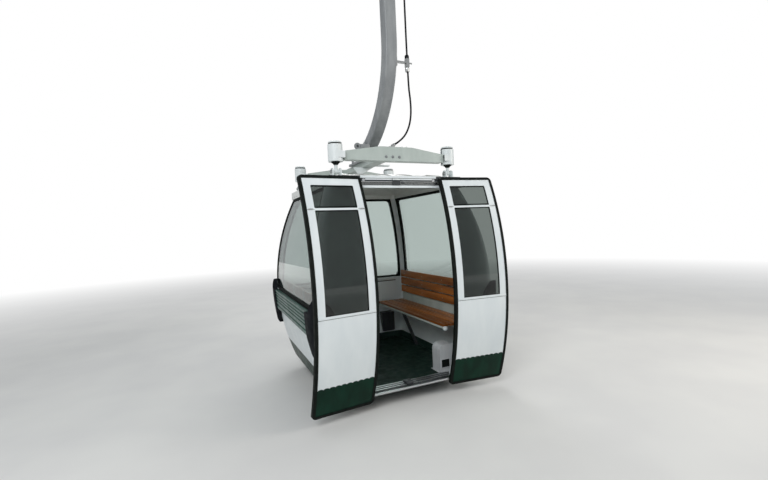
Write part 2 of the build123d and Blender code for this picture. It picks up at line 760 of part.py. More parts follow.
# Each cap is a teardrop in side view and in end view
with BuildSketch(Plane.XZ) as cap_side:
    with BuildLine():
        top = ThreePointArc(
            (HALF_LENGTH - CAP_LENGTH, level(CAP_WIDEST)),
            (HALF_LENGTH - CAP_LOBE, level(CAP_LOBE_HIGH)),
            (HALF_LENGTH - CAP_SHOULDER, level(CAP_HIGH)),
        )
        Polyline(
            top @ 1,
            (HALF_LENGTH + SPAN, level(CAP_HIGH)),
            (HALF_LENGTH + SPAN, level(CAP_LOW)),
            (end_reach(CAP_LOW) - CAP_TIP, level(CAP_LOW)),
            top @ 0,
        )
    make_face()
with BuildSketch(Plane.YZ) as cap_end:
    for side in (-1, 1):
        with BuildLine():
            Polyline(
                (side * BUMPER_HALF, level(BUMPER_LOW)),
                (side * BUMPER_HALF, level(BUMPER_HIGH)),
                (side * (side_reach(BUMPER_HIGH) - POST_WIDTH), level(BUMPER_HIGH)),
                (side * (side_reach(CAP_HIGH) - CAP_TIP), level(CAP_HIGH)),
                (side * SPAN, level(CAP_HIGH)),
                (side * SPAN, level(CAP_LOW)),
                (side * (side_reach(CAP_LOW) - CAP_TIP), level(CAP_LOW)),
                close=True,
            )
        make_face()
with BuildPart() as bumper_caps:
    add(body_solid(-CAP_END_DEPTH, CAP_LOW, CAP_HIGH, -CAP_SIDE_DEPTH))
    add(outer, mode=Mode.SUBTRACT)
    extrude(cap_side.sketch, amount=SPAN, both=True, mode=Mode.INTERSECT)
    extrude(cap_end.sketch, amount=SPAN, mode=Mode.INTERSECT)
    add(bumper.part, mode=Mode.SUBTRACT)
    mirror(about=Plane.YZ)
finish(bumper_caps.part, "bumper_caps")
finish(bumper.part, "bumper_front")
finish(mirror(bumper.part, about=Plane.YZ), "bumper_rear")

# Roof suspension: two crossbeams on four dampers, joined by a carrier
BEAM_Y = ROOF_HALF_WIDTH - BEAM_INSET
DAMPER_X = ROOF_HALF_LENGTH - DAMPER_INSET
BEAM_HALF_LENGTH = DAMPER_X - BEAM_END_GAP
with BuildPart() as crossbeams:
    for place in (-BEAM_Y, BEAM_Y):
        with BuildSketch(Plane.XZ.offset(-place)):
            with BuildLine():
                Polyline(
                    (-BEAM_HALF_LENGTH, level(BEAM_LOW)),
                    (BEAM_HALF_LENGTH, level(BEAM_LOW)),
                    (BEAM_HALF_LENGTH, level(BEAM_END_HIGH)),
                    (BEAM_MID_HALF, level(BEAM_MID_HIGH)),
                    (-BEAM_MID_HALF, level(BEAM_MID_HIGH)),
                    (-BEAM_HALF_LENGTH, level(BEAM_END_HIGH)),
                    close=True,
                )
            make_face()
        extrude(amount=BEAM_WIDTH / 2, both=True)
    fillet(crossbeams.edges().filter_by(Axis.Y), BEAM_CORNER)
finish(crossbeams.part, "crossbeams")

with BuildPart() as carrier:
    with BuildSketch(Plane.XZ):
        with Locations((0, level((CARRIER_LOW + CARRIER_HIGH) / 2))):
            Rectangle(CARRIER_WIDTH, CARRIER_HIGH - CARRIER_LOW)
    extrude(amount=BEAM_Y - BEAM_WIDTH / 2, both=True)
finish(carrier.part, "carrier")

with BuildPart() as damper_cylinders:
    with BuildSketch(Plane.XY.offset(level(DAMPER_LOW))):
        with GridLocations(2 * DAMPER_X, 2 * BEAM_Y, 2, 2):
            Circle(DAMPER_RADIUS)
    extrude(amount=DAMPER_HIGH - DAMPER_LOW)
    with BuildSketch(Plane.XZ):
        for side in (-1, 1):
            with Locations(
                (side * (BEAM_HALF_LENGTH + DAMPER_X) / 2, level(BEAM_LOW + DAMPER_NECK / 2 + FRAME_TUBE))
            ):
                Rectangle(DAMPER_X - BEAM_HALF_LENGTH, DAMPER_NECK)
    extrude(amount=SPAN, both=True)
    with BuildSketch(Plane.XY.offset(level(DAMPER_LOW))):
        with Locations((0, -BEAM_Y), (0, BEAM_Y)):
            Rectangle(2 * DAMPER_X + 2 * DAMPER_RADIUS, 2 * DAMPER_RADIUS)
    extrude(amount=DAMPER_HIGH - DAMPER_LOW, mode=Mode.INTERSECT)
finish(damper_cylinders.part, "damper_cylinders")

# Each rod hangs in a pair of round-topped lugs and ends in an eye between them
EYE_HEIGHT = CLEVIS_TOP - CLEVIS_WIDTH / 2
with BuildPart() as roof_brackets:
    with BuildSketch(Plane.XY.offset(level(EYE_HEIGHT))):
        with GridLocations(2 * DAMPER_X, 2 * BEAM_Y, 2, 2):
            Circle(DAMPER_ROD)
    extrude(amount=DAMPER_LOW - EYE_HEIGHT)
    for middle in (-DAMPER_X, DAMPER_X):
        for start in (middle - CLEVIS_GAP / 2 - CLEVIS_PLATE, middle + CLEVIS_GAP / 2):
            with BuildSketch(Plane.YZ.offset(start)):
                for place in (-BEAM_Y, BEAM_Y):
                    with Locations((place, level(EYE_HEIGHT))):
                        Circle(CLEVIS_WIDTH / 2)
                    with Locations((place, level((EYE_HEIGHT + BODY_TOP) / 2))):
                        Rectangle(CLEVIS_WIDTH, EYE_HEIGHT - BODY_TOP)
            extrude(amount=CLEVIS_PLATE)
        with BuildSketch(Plane.YZ.offset(middle - CLEVIS_GAP / 2)):
            with Locations((-BEAM_Y, level(EYE_HEIGHT)), (BEAM_Y, level(EYE_HEIGHT))):
                Circle(EYE_WIDTH / 2)
        extrude(amount=CLEVIS_GAP)
    add(roof.part, mode=Mode.SUBTRACT)
    add(roof_cavity.part, mode=Mode.SUBTRACT)
    with BuildSketch(Plane.XY.offset(level(BODY_TOP))):
        Rectangle(SPAN, SPAN)
    extrude(amount=ROOF_RIM / 2, mode=Mode.SUBTRACT)
finish(roof_brackets.part, "roof_brackets")

# Hanger arm: out from the hub, down on the door side, then back to the
# roof's centre, where its cut end stands on the foot
ARM_OUT_Y = ARM_INSET - BEAM_Y
ARM_UPPER_RADIUS = HUB_OUTER_Y - ARM_HEAD_RUN - ARM_OUT_Y
turn = math.radians(ARM_LOWER_TURN)
lower_end = (
    ARM_OUT_Y + ARM_LOWER_RADIUS * (1 - math.cos(turn)),
    level(ARM_LOWER_START) - ARM_LOWER_RADIUS * math.sin(turn),
)
foot_end = (
    lower_end[0] + ARM_FOOT_RUN * math.sin(turn),
    lower_end[1] - ARM_FOOT_RUN * math.cos(turn),
)
FOOT_TOP = CARRIER_HIGH + FOOT_PLATE
with BuildPart() as hanger_arm:
    with BuildLine(Plane.YZ) as arm_path:
        head_run = Line((HUB_OUTER_Y, AXLE_Z), (ARM_OUT_Y + ARM_UPPER_RADIUS, AXLE_Z))
        upper = RadiusArc(head_run @ 1, (ARM_OUT_Y, AXLE_Z - ARM_UPPER_RADIUS), -ARM_UPPER_RADIUS)
        drop = Line(upper @ 1, (ARM_OUT_Y, level(ARM_LOWER_START)))
        lower = RadiusArc(drop @ 1, lower_end, -ARM_LOWER_RADIUS)
        Line(lower @ 1, foot_end)
    with BuildSketch(Plane.XZ.offset(-HUB_OUTER_Y)):
        with Locations((0, AXLE_Z)):
            RectangleRounded(ARM_WIDTH, ARM_DEPTH, ARM_CORNER)
    sweep(path=arm_path.line)
    with BuildSketch(Plane.XY.offset(level(FOOT_TOP))):
        Rectangle(2 * ARM_WIDTH, SPAN)
    extrude(amount=-ARM_DEPTH * 2, mode=Mode.SUBTRACT)
finish(hanger_arm.part, "hanger_arm")

with BuildPart() as hanger_foot:
    with BuildSketch(Plane.YZ):
        with BuildLine():
            Polyline(
                (lower_end[0] - FOOT_HEEL, level(FOOT_TOP)),
                (foot_end[0] + FOOT_TOE, level(FOOT_TOP)),
                (foot_end[0] + FOOT_TOE, level(FOOT_TOP + FOOT_TOE_RISE)),
                (lower_end[0] - FOOT_HEEL, level(FOOT_TOP + FOOT_HEEL_RISE)),
                close=True,
            )
        make_face()
    extrude(amount=ARM_WIDTH / 2 + FOOT_CHEEK, both=True)
    with BuildSketch(Plane.YZ):
        Rectangle(2 * SPAN, 4 * SPAN)
    extrude(amount=ARM_WIDTH / 2, both=True, mode=Mode.SUBTRACT)
    with BuildSketch(Plane.XY.offset(level(CARRIER_HIGH))):
        with Locations((0, (lower_end[0] - FOOT_HEEL + foot_end[0] + FOOT_TOE) / 2)):
            RectangleRounded(
                ARM_WIDTH + 2 * FOOT_CHEEK + 2 * FOOT_MARGIN,
                foot_end[0] - lower_end[0] + FOOT_TOE + FOOT_HEEL + 2 * FOOT_MARGIN,
                FOOT_CORNER,
            )
    extrude(amount=FOOT_PLATE)
finish(hanger_foot.part, "hanger_foot")

with BuildPart() as hanger_hub:
    with BuildSketch(Plane.XZ.offset(-HUB_INNER_Y)):
        with Locations((0, AXLE_Z)):
            Circle(HUB_RADIUS)
    extrude(amount=HUB_INNER_Y - HUB_OUTER_Y)
    chamfer(hanger_hub.edges().filter_by(GeomType.CIRCLE), HUB_CHAMFER)
    with BuildSketch(Plane.XZ.offset(-HUB_INNER_Y)):
        with Locations((0, AXLE_Z)):
            Circle(AXLE_RADIUS + RUNNING_CLEARANCE)
    extrude(amount=HUB_INNER_Y - AXLE_END_Y + AXLE_END_GAP, mode=Mode.SUBTRACT)
finish(hanger_hub.part, "hanger_hub")

# Control cable: straight beside the arm, then hanging in a bend to a socket
# on the crossbeam. X and height of the corners of its route
CABLE_ROUTE = (
    (CABLE_X, CABLE_TOP + CLAMP_HEIGHT / 2),
    (CABLE_X, 2940),
    (212, 2740),
    (205, 2580),
    (160, 2450),
    (85, 2362),
    (10, 2318),
)
corners = [Vector(across, ARM_OUT_Y, level(height)) for across, height in CABLE_ROUTE]
radii = []
for before, here, after in zip(corners, corners[1:], corners[2:]):
    shorter = min((here - before).length, (after - here).length)
    half_turn = math.radians((here - before).get_angle(after - here)) / 2
    radii.append(0.45 * shorter / math.tan(half_turn))
print("cable radii", [round(radius) for radius in radii])
with BuildPart() as control_cable:
    with BuildLine() as route:
        FilletPolyline(*corners, radius=radii)
    with BuildSketch(Plane(origin=corners[0], z_dir=corners[1] - corners[0])):
        Circle(CABLE_RADIUS)
    sweep(path=route.line)
cable_length = sum(edge.length for edge in route.edges())
print("cable length", round(cable_length, 1))
print("cable volume share", control_cable.part.volume / (math.pi * CABLE_RADIUS**2 * cable_length))
finish(control_cable.part, "control_cable")

with BuildPart() as cable_clamps:
    for height in (CLAMP_LOW, CABLE_TOP):
        with BuildSketch(Plane.XZ.offset(-ARM_OUT_Y)):
            with Locations(((ARM_WIDTH / 2 + CABLE_X) / 2, level(height + CLAMP_HEIGHT / 2))):
                Rectangle(CABLE_X - ARM_WIDTH / 2, CLAMP_BAR)
            with Locations((CABLE_X, level(height + CLAMP_HEIGHT / 2))):
                RectangleRounded(CLAMP_BLOCK, CLAMP_HEIGHT, CLAMP_CORNER)
            with Locations((ARM_WIDTH / 2 + CLAMP_BAR / 2, level(height + CLAMP_HEIGHT / 2))):
                Rectangle(CLAMP_BAR, CLAMP_HEIGHT)
        extrude(amount=CLAMP_BLOCK / 2, both=True)
    with BuildSketch(Plane.XY.offset(level(CLAMP_LOW))):
        with Locations((CABLE_X, ARM_OUT_Y)):
            Circle(CABLE_RADIUS)
    extrude(amount=CABLE_TOP - CLAMP_LOW + CLAMP_HEIGHT / 2, mode=Mode.SUBTRACT)
    with BuildSketch(Plane(origin=corners[-1], z_dir=corners[-1] - corners[-2])):
        Circle(SOCKET_RADIUS)
    extrude(amount=SOCKET_LENGTH)
    with BuildSketch(Plane.XY.offset(level(BEAM_MID_HIGH))):
        with Locations((corners[-1].X - SOCKET_LENGTH, ARM_OUT_Y)):
            Rectangle(SOCKET_BASE, 2 * SOCKET_RADIUS)
    extrude(amount=SOCKET_RADIUS)
    add(crossbeams.part, mode=Mode.SUBTRACT)
finish(cable_clamps.part, "cable_clamps")

# Grip body: an arch over the rope whose inner leg is the fixed jaw
CHEEK_X = GRIP_HALF_LENGTH - GRIP_CHEEK
LEG_INNER_Y = GRIP_OUTER_Y + GRIP_LEG
ARCH_LOW = GRIP_TOP - GRIP_ARCH
JAW_HALF_LENGTH = CHEEK_X - MOVING_GAP
LEVER_SWING = math.tan(math.radians(JAW_OPENING)) * (GRIP_TOP - PIVOT_Z)
with BuildPart() as grip_body:
    with BuildSketch(Plane.YZ):
        with BuildLine():
            Polyline(
                (GRIP_OUTER_Y, GRIP_LOW),
                (LEG_INNER_Y, GRIP_LOW),
                (LEG_INNER_Y, ARCH_LOW),
                (FIXED_JAW_Y, ARCH_LOW),
                (FIXED_JAW_Y, FIXED_JAW_LOW),
                (GRIP_INNER_Y, FIXED_JAW_LOW),
                (GRIP_INNER_Y, GRIP_TOP),
                (GRIP_OUTER_Y, GRIP_TOP),
                close=True,
            )
        make_face()
    extrude(amount=GRIP_HALF_LENGTH, both=True)
    for start in (CHEEK_X, -GRIP_HALF_LENGTH):
        with BuildSketch(Plane.YZ.offset(start)):
            with Locations(((LEG_INNER_Y + FIXED_JAW_Y) / 2, (PIVOT_Z - GRIP_CHEEK + ARCH_LOW) / 2)):
                Rectangle(FIXED_JAW_Y - LEG_INNER_Y, ARCH_LOW - PIVOT_Z + GRIP_CHEEK)
        extrude(amount=GRIP_CHEEK)
    with BuildSketch(Plane.XZ.offset(-LEG_INNER_Y)):
        with Locations((0, AXLE_Z)):
            Circle(AXLE_BOSS)
    extrude(amount=GRIP_LEG)
    with BuildSketch(Plane.XZ.offset(-GRIP_OUTER_Y)):
        with Locations((0, AXLE_Z)):
            Circle(AXLE_RADIUS)
    extrude(amount=GRIP_OUTER_Y - AXLE_END_Y)
    with BuildSketch(Plane.XZ.offset(-GRIP_INNER_Y)):
        with Locations((0, (GRIP_TOP + SPRING_Z) / 2)):
            Rectangle(2 * (SPRING_RADIUS - SPRING_RING), SPRING_Z - GRIP_TOP)
        with Locations((0, SPRING_Z)):
            Circle(SPRING_RADIUS + SPRING_RING)
    extrude(amount=GRIP_INNER_Y - SPRING_START)
    with BuildSketch(Plane.XZ.offset(-GRIP_INNER_Y)):
        with Locations((0, SPRING_Z)):
            Circle(SPRING_RADIUS)
    extrude(amount=GRIP_INNER_Y - SPRING_START, mode=Mode.SUBTRACT)
    with BuildSketch(Plane.XY.offset(ARCH_LOW)):
        with Locations((0, PIVOT_Y + LEVER_SWING / 2)):
            Rectangle(
                2 * (LEVER_HALF_WIDTH + MOVING_GAP), 2 * (LEVER_HALF_DEPTH + MOVING_GAP) + LEVER_SWING
            )
    extrude(amount=GRIP_ARCH, mode=Mode.SUBTRACT)
    with BuildSketch(Plane.YZ):
        Circle(ROPE_RADIUS + JAW_FIT)
        with Locations((PIVOT_Y, PIVOT_Z)):
            Circle(PIVOT_RADIUS)
    extrude(amount=GRIP_HALF_LENGTH, both=True, mode=Mode.SUBTRACT)
    with BuildPart(mode=Mode.PRIVATE) as nose_guides:
        for side in (-1, 1):
            with BuildSketch(Plane.YZ.offset(side * GRIP_HALF_LENGTH)):
                Circle(NOSE_ROOT)
            with BuildSketch(Plane.YZ.offset(side * (GRIP_HALF_LENGTH + NOSE_LENGTH))):
                Circle(NOSE_TIP)
            loft()
        with BuildSketch(Plane.YZ):
            with Locations((FIXED_JAW_Y + SPAN / 2, FIXED_JAW_LOW + SPAN / 2)):
                Rectangle(SPAN, SPAN)
            Circle(ROPE_RADIUS + JAW_FIT, mode=Mode.SUBTRACT)
        extrude(amount=SPAN, both=True, mode=Mode.INTERSECT)
    add(nose_guides.part)
finish(grip_body.part, "grip_body")

with BuildPart() as moving_jaw:
    with BuildSketch(Plane.YZ):
        with BuildLine():
            Polyline(
                (PIVOT_Y + PIVOT_BOSS, PIVOT_Z),
                (FIXED_JAW_Y - MOVING_GAP, PIVOT_Z - PIVOT_BOSS),
                (FIXED_JAW_Y - MOVING_GAP, FIXED_JAW_LOW - MOVING_GAP),
                (JAW_TIP_Y, FIXED_JAW_LOW - MOVING_GAP),
                (JAW_TIP_Y, JAW_LOW + PIVOT_RADIUS),
                (JAW_TIP_Y - PIVOT_RADIUS, JAW_LOW),
                (JAW_OUTER_Y + PIVOT_BOSS, JAW_LOW),
                (JAW_OUTER_Y, JAW_LOW + PIVOT_BOSS),
                (PIVOT_Y - PIVOT_BOSS, PIVOT_Z),
                close=True,
            )
        make_face()
        with Locations((PIVOT_Y, PIVOT_Z)):
            Circle(PIVOT_BOSS)
    extrude(amount=JAW_HALF_LENGTH, both=True)
    with BuildSketch(Plane.YZ):
        with Locations((PIVOT_Y, (PIVOT_Z + LEVER_TOP) / 2)):
            Rectangle(2 * LEVER_HALF_DEPTH, LEVER_TOP - PIVOT_Z)
    extrude(amount=LEVER_HALF_WIDTH, both=True)
    with BuildSketch(Plane.XY.offset(LEVER_TOP)):
        with Locations((0, PIVOT_Y)):
            Circle(ROLLER_PIN)
    extrude(amount=LEVER_ROLLER_WIDTH + 2 * ROLLER_GAP)
    with BuildSketch(Plane.XY.offset(LEVER_TOP + LEVER_ROLLER_WIDTH + 2 * ROLLER_GAP)):
        with Locations((0, PIVOT_Y)):
            Circle(ROLLER_HEAD)
    extrude(amount=PIN_HEAD)
    with BuildSketch(Plane.YZ):
        Circle(ROPE_RADIUS + JAW_FIT)
        with Locations((PIVOT_Y, PIVOT_Z)):
            Circle(PIVOT_RADIUS + RUNNING_CLEARANCE)
    extrude(amount=JAW_HALF_LENGTH, both=True, mode=Mode.SUBTRACT)
finish(moving_jaw.part, "moving_jaw")

with BuildPart() as spring_housing:
    with BuildSketch(Plane.XZ.offset(-SPRING_END)):
        with Locations((0, SPRING_Z)):
            Circle(SPRING_RADIUS)
    extrude(amount=SPRING_END - SPRING_START)
    chamfer(spring_housing.edges().filter_by(GeomType.CIRCLE), SPRING_CHAMFER)
    with BuildSketch(Plane.XZ.offset(-SPRING_START)):
        with Locations((0, SPRING_Z)):
            Circle(PLUNGER_RADIUS + RUNNING_CLEARANCE)
    extrude(amount=SPRING_START - SPRING_END + SPRING_RING, mode=Mode.SUBTRACT)
finish(spring_housing.part, "spring_housing")

# The plunger's dome stands just clear of the lever's inner face
DOME_Y = PIVOT_Y + LEVER_HALF_DEPTH + DOME_GAP + PLUNGER_DOME
with BuildPart() as spring_plunger:
    with BuildSketch(Plane.XZ.offset(-DOME_Y)):
        with Locations((0, SPRING_Z)):
            Circle(PLUNGER_RADIUS)
    extrude(amount=-PLUNGER_LENGTH)
    with Locations((0, DOME_Y, SPRING_Z)):
        Sphere(PLUNGER_DOME)
finish(spring_plunger.part, "spring_plunger")

with BuildPart() as roller_carriage:
    with BuildSketch(Plane.XZ.offset(-GRIP_INNER_Y - CARRIAGE_DEPTH)):
        with Locations((0, RUNNING_ROLLER_Z)):
            RectangleRounded(2 * CARRIAGE_HALF_LENGTH, CARRIAGE_HEIGHT, CARRIAGE_CORNER)
    extrude(amount=CARRIAGE_DEPTH)
finish(roller_carriage.part, "roller_carriage")

with BuildPart() as friction_plate:
    with BuildSketch(Plane.XY.offset(PLATE_LOW)):
        with Locations((0, PLATE_Y + PLATE_WIDTH / 2)):
            RectangleRounded(2 * PLATE_HALF_LENGTH, PLATE_WIDTH, PLATE_CORNER)
    extrude(amount=PLATE_THICKNESS)
    with BuildSketch(Plane.XY.offset(GRIP_TOP)):
        with Locations((0, PLATE_Y + PLATE_WIDTH / 2)):
            with GridLocations(2 * PLATE_POST_X, 0, 2, 1):
                Rectangle(PLATE_POST, PLATE_POST)
    extrude(amount=PLATE_LOW - GRIP_TOP)
finish(friction_plate.part, "friction_plate")

# Rollers on cross pins: X, Z, the Y of the face behind, side, radius, width
RUNNING_SIZE = (RUNNING_ROLLER_Z, GRIP_INNER_Y + CARRIAGE_DEPTH, 1, RUNNING_ROLLER_RADIUS, RUNNING_ROLLER_WIDTH)
ROLLERS = {
    "running_roller_front": (RUNNING_ROLLER_X, *RUNNING_SIZE),
    "running_roller_rear": (-RUNNING_ROLLER_X, *RUNNING_SIZE),
    "guide_roller": (0, GUIDE_ROLLER_Z, GRIP_OUTER_Y, -1, GUIDE_ROLLER_RADIUS, GUIDE_ROLLER_WIDTH),
}
with BuildPart() as grip_pins:
    with BuildSketch(Plane.YZ):
        with Locations((PIVOT_Y, PIVOT_Z)):
            Circle(PIVOT_RADIUS)
    extrude(amount=GRIP_HALF_LENGTH, both=True)
    for start in (GRIP_HALF_LENGTH, -GRIP_HALF_LENGTH - PIN_HEAD):
        with BuildSketch(Plane.YZ.offset(start)):
            with Locations((PIVOT_Y, PIVOT_Z)):
                Circle(PIVOT_RADIUS + PIN_HEAD)
        extrude(amount=PIN_HEAD)
    for name, (across, up, face, side, radius, width) in ROLLERS.items():
        with BuildSketch(Plane.XZ.offset(-face)):
            with Locations((across, up)):
                Circle(ROLLER_PIN)
        extrude(amount=-side * (width + 2 * ROLLER_GAP))
        with BuildSketch(Plane.XZ.offset(-face - side * (width + 2 * ROLLER_GAP))):
            with Locations((across, up)):
                Circle(ROLLER_HEAD)
        extrude(amount=-side * PIN_HEAD)
finish(grip_pins.part, "grip_pins")

for name, (across, up, face, side, radius, width) in ROLLERS.items():
    with BuildPart() as roller:
        with BuildSketch(Plane.XZ.offset(-face - side * ROLLER_GAP)):
            with Locations((across, up)):
                Circle(radius)
        extrude(amount=-side * width)
        chamfer(roller.edges().filter_by(GeomType.CIRCLE), ROLLER_CHAMFER)
        with BuildSketch(Plane.XZ.offset(-face - side * ROLLER_GAP)):
            with Locations((across, up)):
                Circle(ROLLER_PIN + RUNNING_CLEARANCE)
        extrude(amount=-side * width, mode=Mode.SUBTRACT)
    finish(roller.part, name)

with BuildPart() as lever_roller:
    with BuildSketch(Plane.XY.offset(LEVER_TOP + ROLLER_GAP)):
        with Locations((0, PIVOT_Y)):
            Circle(LEVER_ROLLER_RADIUS)
            Circle(ROLLER_PIN + RUNNING_CLEARANCE, mode=Mode.SUBTRACT)
    extrude(amount=LEVER_ROLLER_WIDTH)
finish(lever_roller.part, "lever_roller")
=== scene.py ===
import math

import bmesh
import bpy
from mathutils import Matrix, Vector


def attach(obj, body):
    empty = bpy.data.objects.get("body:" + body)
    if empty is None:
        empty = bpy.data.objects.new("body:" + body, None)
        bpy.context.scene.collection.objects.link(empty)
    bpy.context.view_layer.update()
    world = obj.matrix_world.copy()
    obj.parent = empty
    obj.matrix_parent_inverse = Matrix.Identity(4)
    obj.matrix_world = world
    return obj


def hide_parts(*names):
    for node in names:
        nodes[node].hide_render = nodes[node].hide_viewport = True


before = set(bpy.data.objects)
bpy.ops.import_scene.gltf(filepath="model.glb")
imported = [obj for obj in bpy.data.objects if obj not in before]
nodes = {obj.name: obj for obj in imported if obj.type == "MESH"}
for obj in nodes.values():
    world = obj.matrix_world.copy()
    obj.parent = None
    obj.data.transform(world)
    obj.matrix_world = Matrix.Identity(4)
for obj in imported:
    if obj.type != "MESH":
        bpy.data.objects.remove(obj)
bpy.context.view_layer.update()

# Heights are counted from the cabin floor, in metres, and the rope's centre is the origin.
ROPE_HEIGHT = 4.4
WAIST = 0.885
HALF_LENGTH, END_RADIUS = 0.92, 2.6
HALF_WIDTH, SIDE_RADIUS = 1.0, 2.45
BEAM_Y = 0.7156
BEAM_FACE = BEAM_Y + 0.045
DAMPER_X = 0.6016
ARM_Y = -0.7006
CABLE_X = 0.188
CABLE_RADIUS = 0.009
LEDGE_HEIGHT, VENT_JOINT = 0.803, 1.685
PULLEY_X, PULLEY_HEIGHT = 0.372, 1.9575
BUMPER_LOW, BUMPER_HIGH, BUMPER_PROUD = 0.592, 0.815, 0.048
BUMPER_MIDDLE = 0.7
BUMPER_DEPTH, BUMPER_LENGTH, BUMPER_ROWS = 0.0485, 1.582, 13
GROOVE_ROWS, GROOVE_DEPTH = (1, 3, 5, 7, 10), 0.009
BENCH_START, BENCH_LENGTH = -0.770, 1.648
SEAT_START, SEAT_PITCH, SEAT_TOP = 0.44, 0.0782, 0.5
BACK_X, BACK_LOW, BACK_PITCH = 0.8025, 0.61, 0.106
MAT_INSET, COVE_HEIGHT = 0.04, 0.072
LUG_X, LUG_Y, LUG_HEIGHT = -0.222, -0.3, 2.375
HUB_Z, HUB_RING_RADIUS = -0.045, 0.086
STUDIO_FLOOR = -0.16
# Direction along X of each door leaf and of each end
SIDES = {"left": -1, "right": 1}
ENDS = {"rear": -1, "front": 1}
# Most of a noise pattern lies between these two shares
NOISE_LOW, NOISE_HIGH = 0.35, 0.65


def level(height):
    """Z of a height above the cabin floor."""
    return height - ROPE_HEIGHT


def drawn_in(radius, height):
    """How far the body's arc has drawn in at a height."""
    return radius - math.sqrt(radius**2 - (height - WAIST) ** 2)


def end_reach(height, inset=0.0):
    """Half length of the body at a height."""
    return HALF_LENGTH - inset - drawn_in(END_RADIUS - inset, height)


def side_reach(height, inset=0.0):
    """Half width of the body at a height."""
    return HALF_WIDTH - inset - drawn_in(SIDE_RADIUS - inset, height)


# Camera at the photograph's place
view = bpy.data.objects.new("view", bpy.data.cameras.new("view"))
view.data.sensor_width = 36
view.data.lens = 18.75
view.data.clip_start = 0.05
view.location = (-1.731, -4.226, -2.906)
view.rotation_euler = [math.radians(turn) for turn in (88.497, 2.564, -24.262)]
bpy.context.scene.collection.objects.link(view)
bpy.context.scene.camera = view

# Control cable: down beside the arm, then a loose bend to its socket on the crossbeam
cable_line = bpy.data.curves.new("control_cable_line", "CURVE")
cable_line.dimensions = "3D"
cable_line.resolution_u = 16
cable_line.bevel_depth = 1.0
cable_line.bevel_resolution = 6
cable_line.use_fill_caps = True
cable_route = (
    (CABLE_X, -0.5475),
    (CABLE_X, -1.460),
    (0.212, -1.660),
    (0.205, -1.820),
    (0.160, -1.950),
    (0.085, -2.038),
    (0.010, -2.082),
)
spline = cable_line.splines.new("NURBS")
spline.points.add(len(cable_route) - 1)
for point, (across, up) in zip(spline.points, cable_route):
    point.co = (across, ARM_Y, up, 1)
    point.radius = CABLE_RADIUS
spline.order_u = 3
spline.use_endpoint_u = True
cable = bpy.data.objects.new("hanging_cable", cable_line)
bpy.context.scene.collection.objects.link(cable)
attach(cable, "cabin")
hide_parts("control_cable")


# Materials
def linear(code):
    """Linear colour of an sRGB hex value."""
    parts = [int(code[start : start + 2], 16) / 255 for start in (1, 3, 5)]
    return [
        part / 12.92 if part <= 0.04045 else ((part + 0.055) / 1.055) ** 2.4 for part in parts
    ] + [1]


def add(tree, kind, inputs=None, **settings):
    """A shader node with its settings, its inputs set or linked."""
    made = tree.nodes.new("ShaderNode" + kind)
    for name, value in settings.items():
        setattr(made, name, value)
    for name, value in (inputs or {}).items():
        if isinstance(value, bpy.types.NodeSocket):
            tree.links.new(value, made.inputs[name])
        else:
            made.inputs[name].default_value = value
    return made


def material(name, **shader):
    """A new material: itself, its tree, its Object coordinates and its shader."""
    made = bpy.data.materials.new(name)
    made.use_nodes = True
    tree = made.node_tree
    tree.nodes.clear()
    place = add(tree, "TexCoord").outputs["Object"]
    inputs = {key.replace("_", " "): value for key, value in shader.items()}
    surface = add(tree, "BsdfPrincipled", inputs)
    add(tree, "OutputMaterial", {"Surface": surface.outputs["BSDF"]})
    return made, tree, place, surface


def noise(tree, place, size_mm, stretch=(1, 1, 1), detail=3.0):
    """Noise whose blotches are about a size in millimetres, stretched along the axes."""
    spread = add(tree, "Mapping", {"Vector": place, "Scale": [1 / part for part in stretch]})
    pattern = add(
        tree,
        "TexNoise",
        {"Vector": spread.outputs["Vector"], "Scale": 1000 / size_mm, "Detail": detail},
    )
    return pattern.outputs["Fac"]


def levels(tree, share, low, high):
    """A pattern's usual range of shares turned to a number between low and high."""
    ramp = add(
        tree,
        "MapRange",
        {
            "Value": share, "From Min": NOISE_LOW, "From Max": NOISE_HIGH,
            "To Min": low, "To Max": high,
        },
    )
    return ramp.outputs["Result"]


def between(tree, share, first, second):
    """A colour between two sRGB hex values by a share."""
    mix = add(
        tree,
        "Mix",
        {"Factor": levels(tree, share, 0, 1), "A": linear(first), "B": linear(second)},
        data_type="RGBA",
    )
    return mix.outputs["Result"]


def relief(tree, surface, height, depth_mm, strength=1.0):
    """Relief on a shader from a pattern's height, with a depth in millimetres."""
    bump = add(tree, "Bump", {"Height": height, "Distance": depth_mm / 1000, "Strength": strength})
    tree.links.new(bump.outputs["Normal"], surface.inputs["Normal"])


def paint(
    name, colour, shade, low, high, mottle_mm=260, peel_mm=4.0, peel_depth=0.06, coat=0.0, shine=0.5
):
    """Sprayed or powder-coated paint: faint upright streaks, orange peel and uneven gloss."""
    made, tree, place, surface = material(
        name, Coat_Weight=coat, Coat_Roughness=0.08, Specular_IOR_Level=shine
    )
    streaks = noise(tree, place, mottle_mm, (0.5, 0.5, 2.2), 4.0)
    tree.links.new(between(tree, streaks, colour, shade), surface.inputs["Base Color"])
    tree.links.new(levels(tree, noise(tree, place, 90), low, high), surface.inputs["Roughness"])
    relief(tree, surface, noise(tree, place, peel_mm, detail=1.0), peel_depth, 0.6)
    return made


# Powder-coated aluminium: cool white sheet with a soft sheen and faint rain streaks
white_powder = paint("powder_coated_aluminium_white", "#d9dfe0", "#d1d8da", 0.30, 0.44)
# Gel-coated glass-fibre roof: a little yellower and glossier, and gently wavy
gel_coat = paint("gel_coated_fibreglass_white", "#dfe0dc", "#dbdcd9", 0.32, 0.38, 400, 120.0, 0.05)
# Two-pack lacquer in bottle green: nearly black in the shade, with a thin clear coat
bottle_green = paint(
    "bottle_green_lacquer", "#063022", "#042318", 0.32, 0.46, 200, 4.0, 0.05, coat=0.03, shine=0.12
)
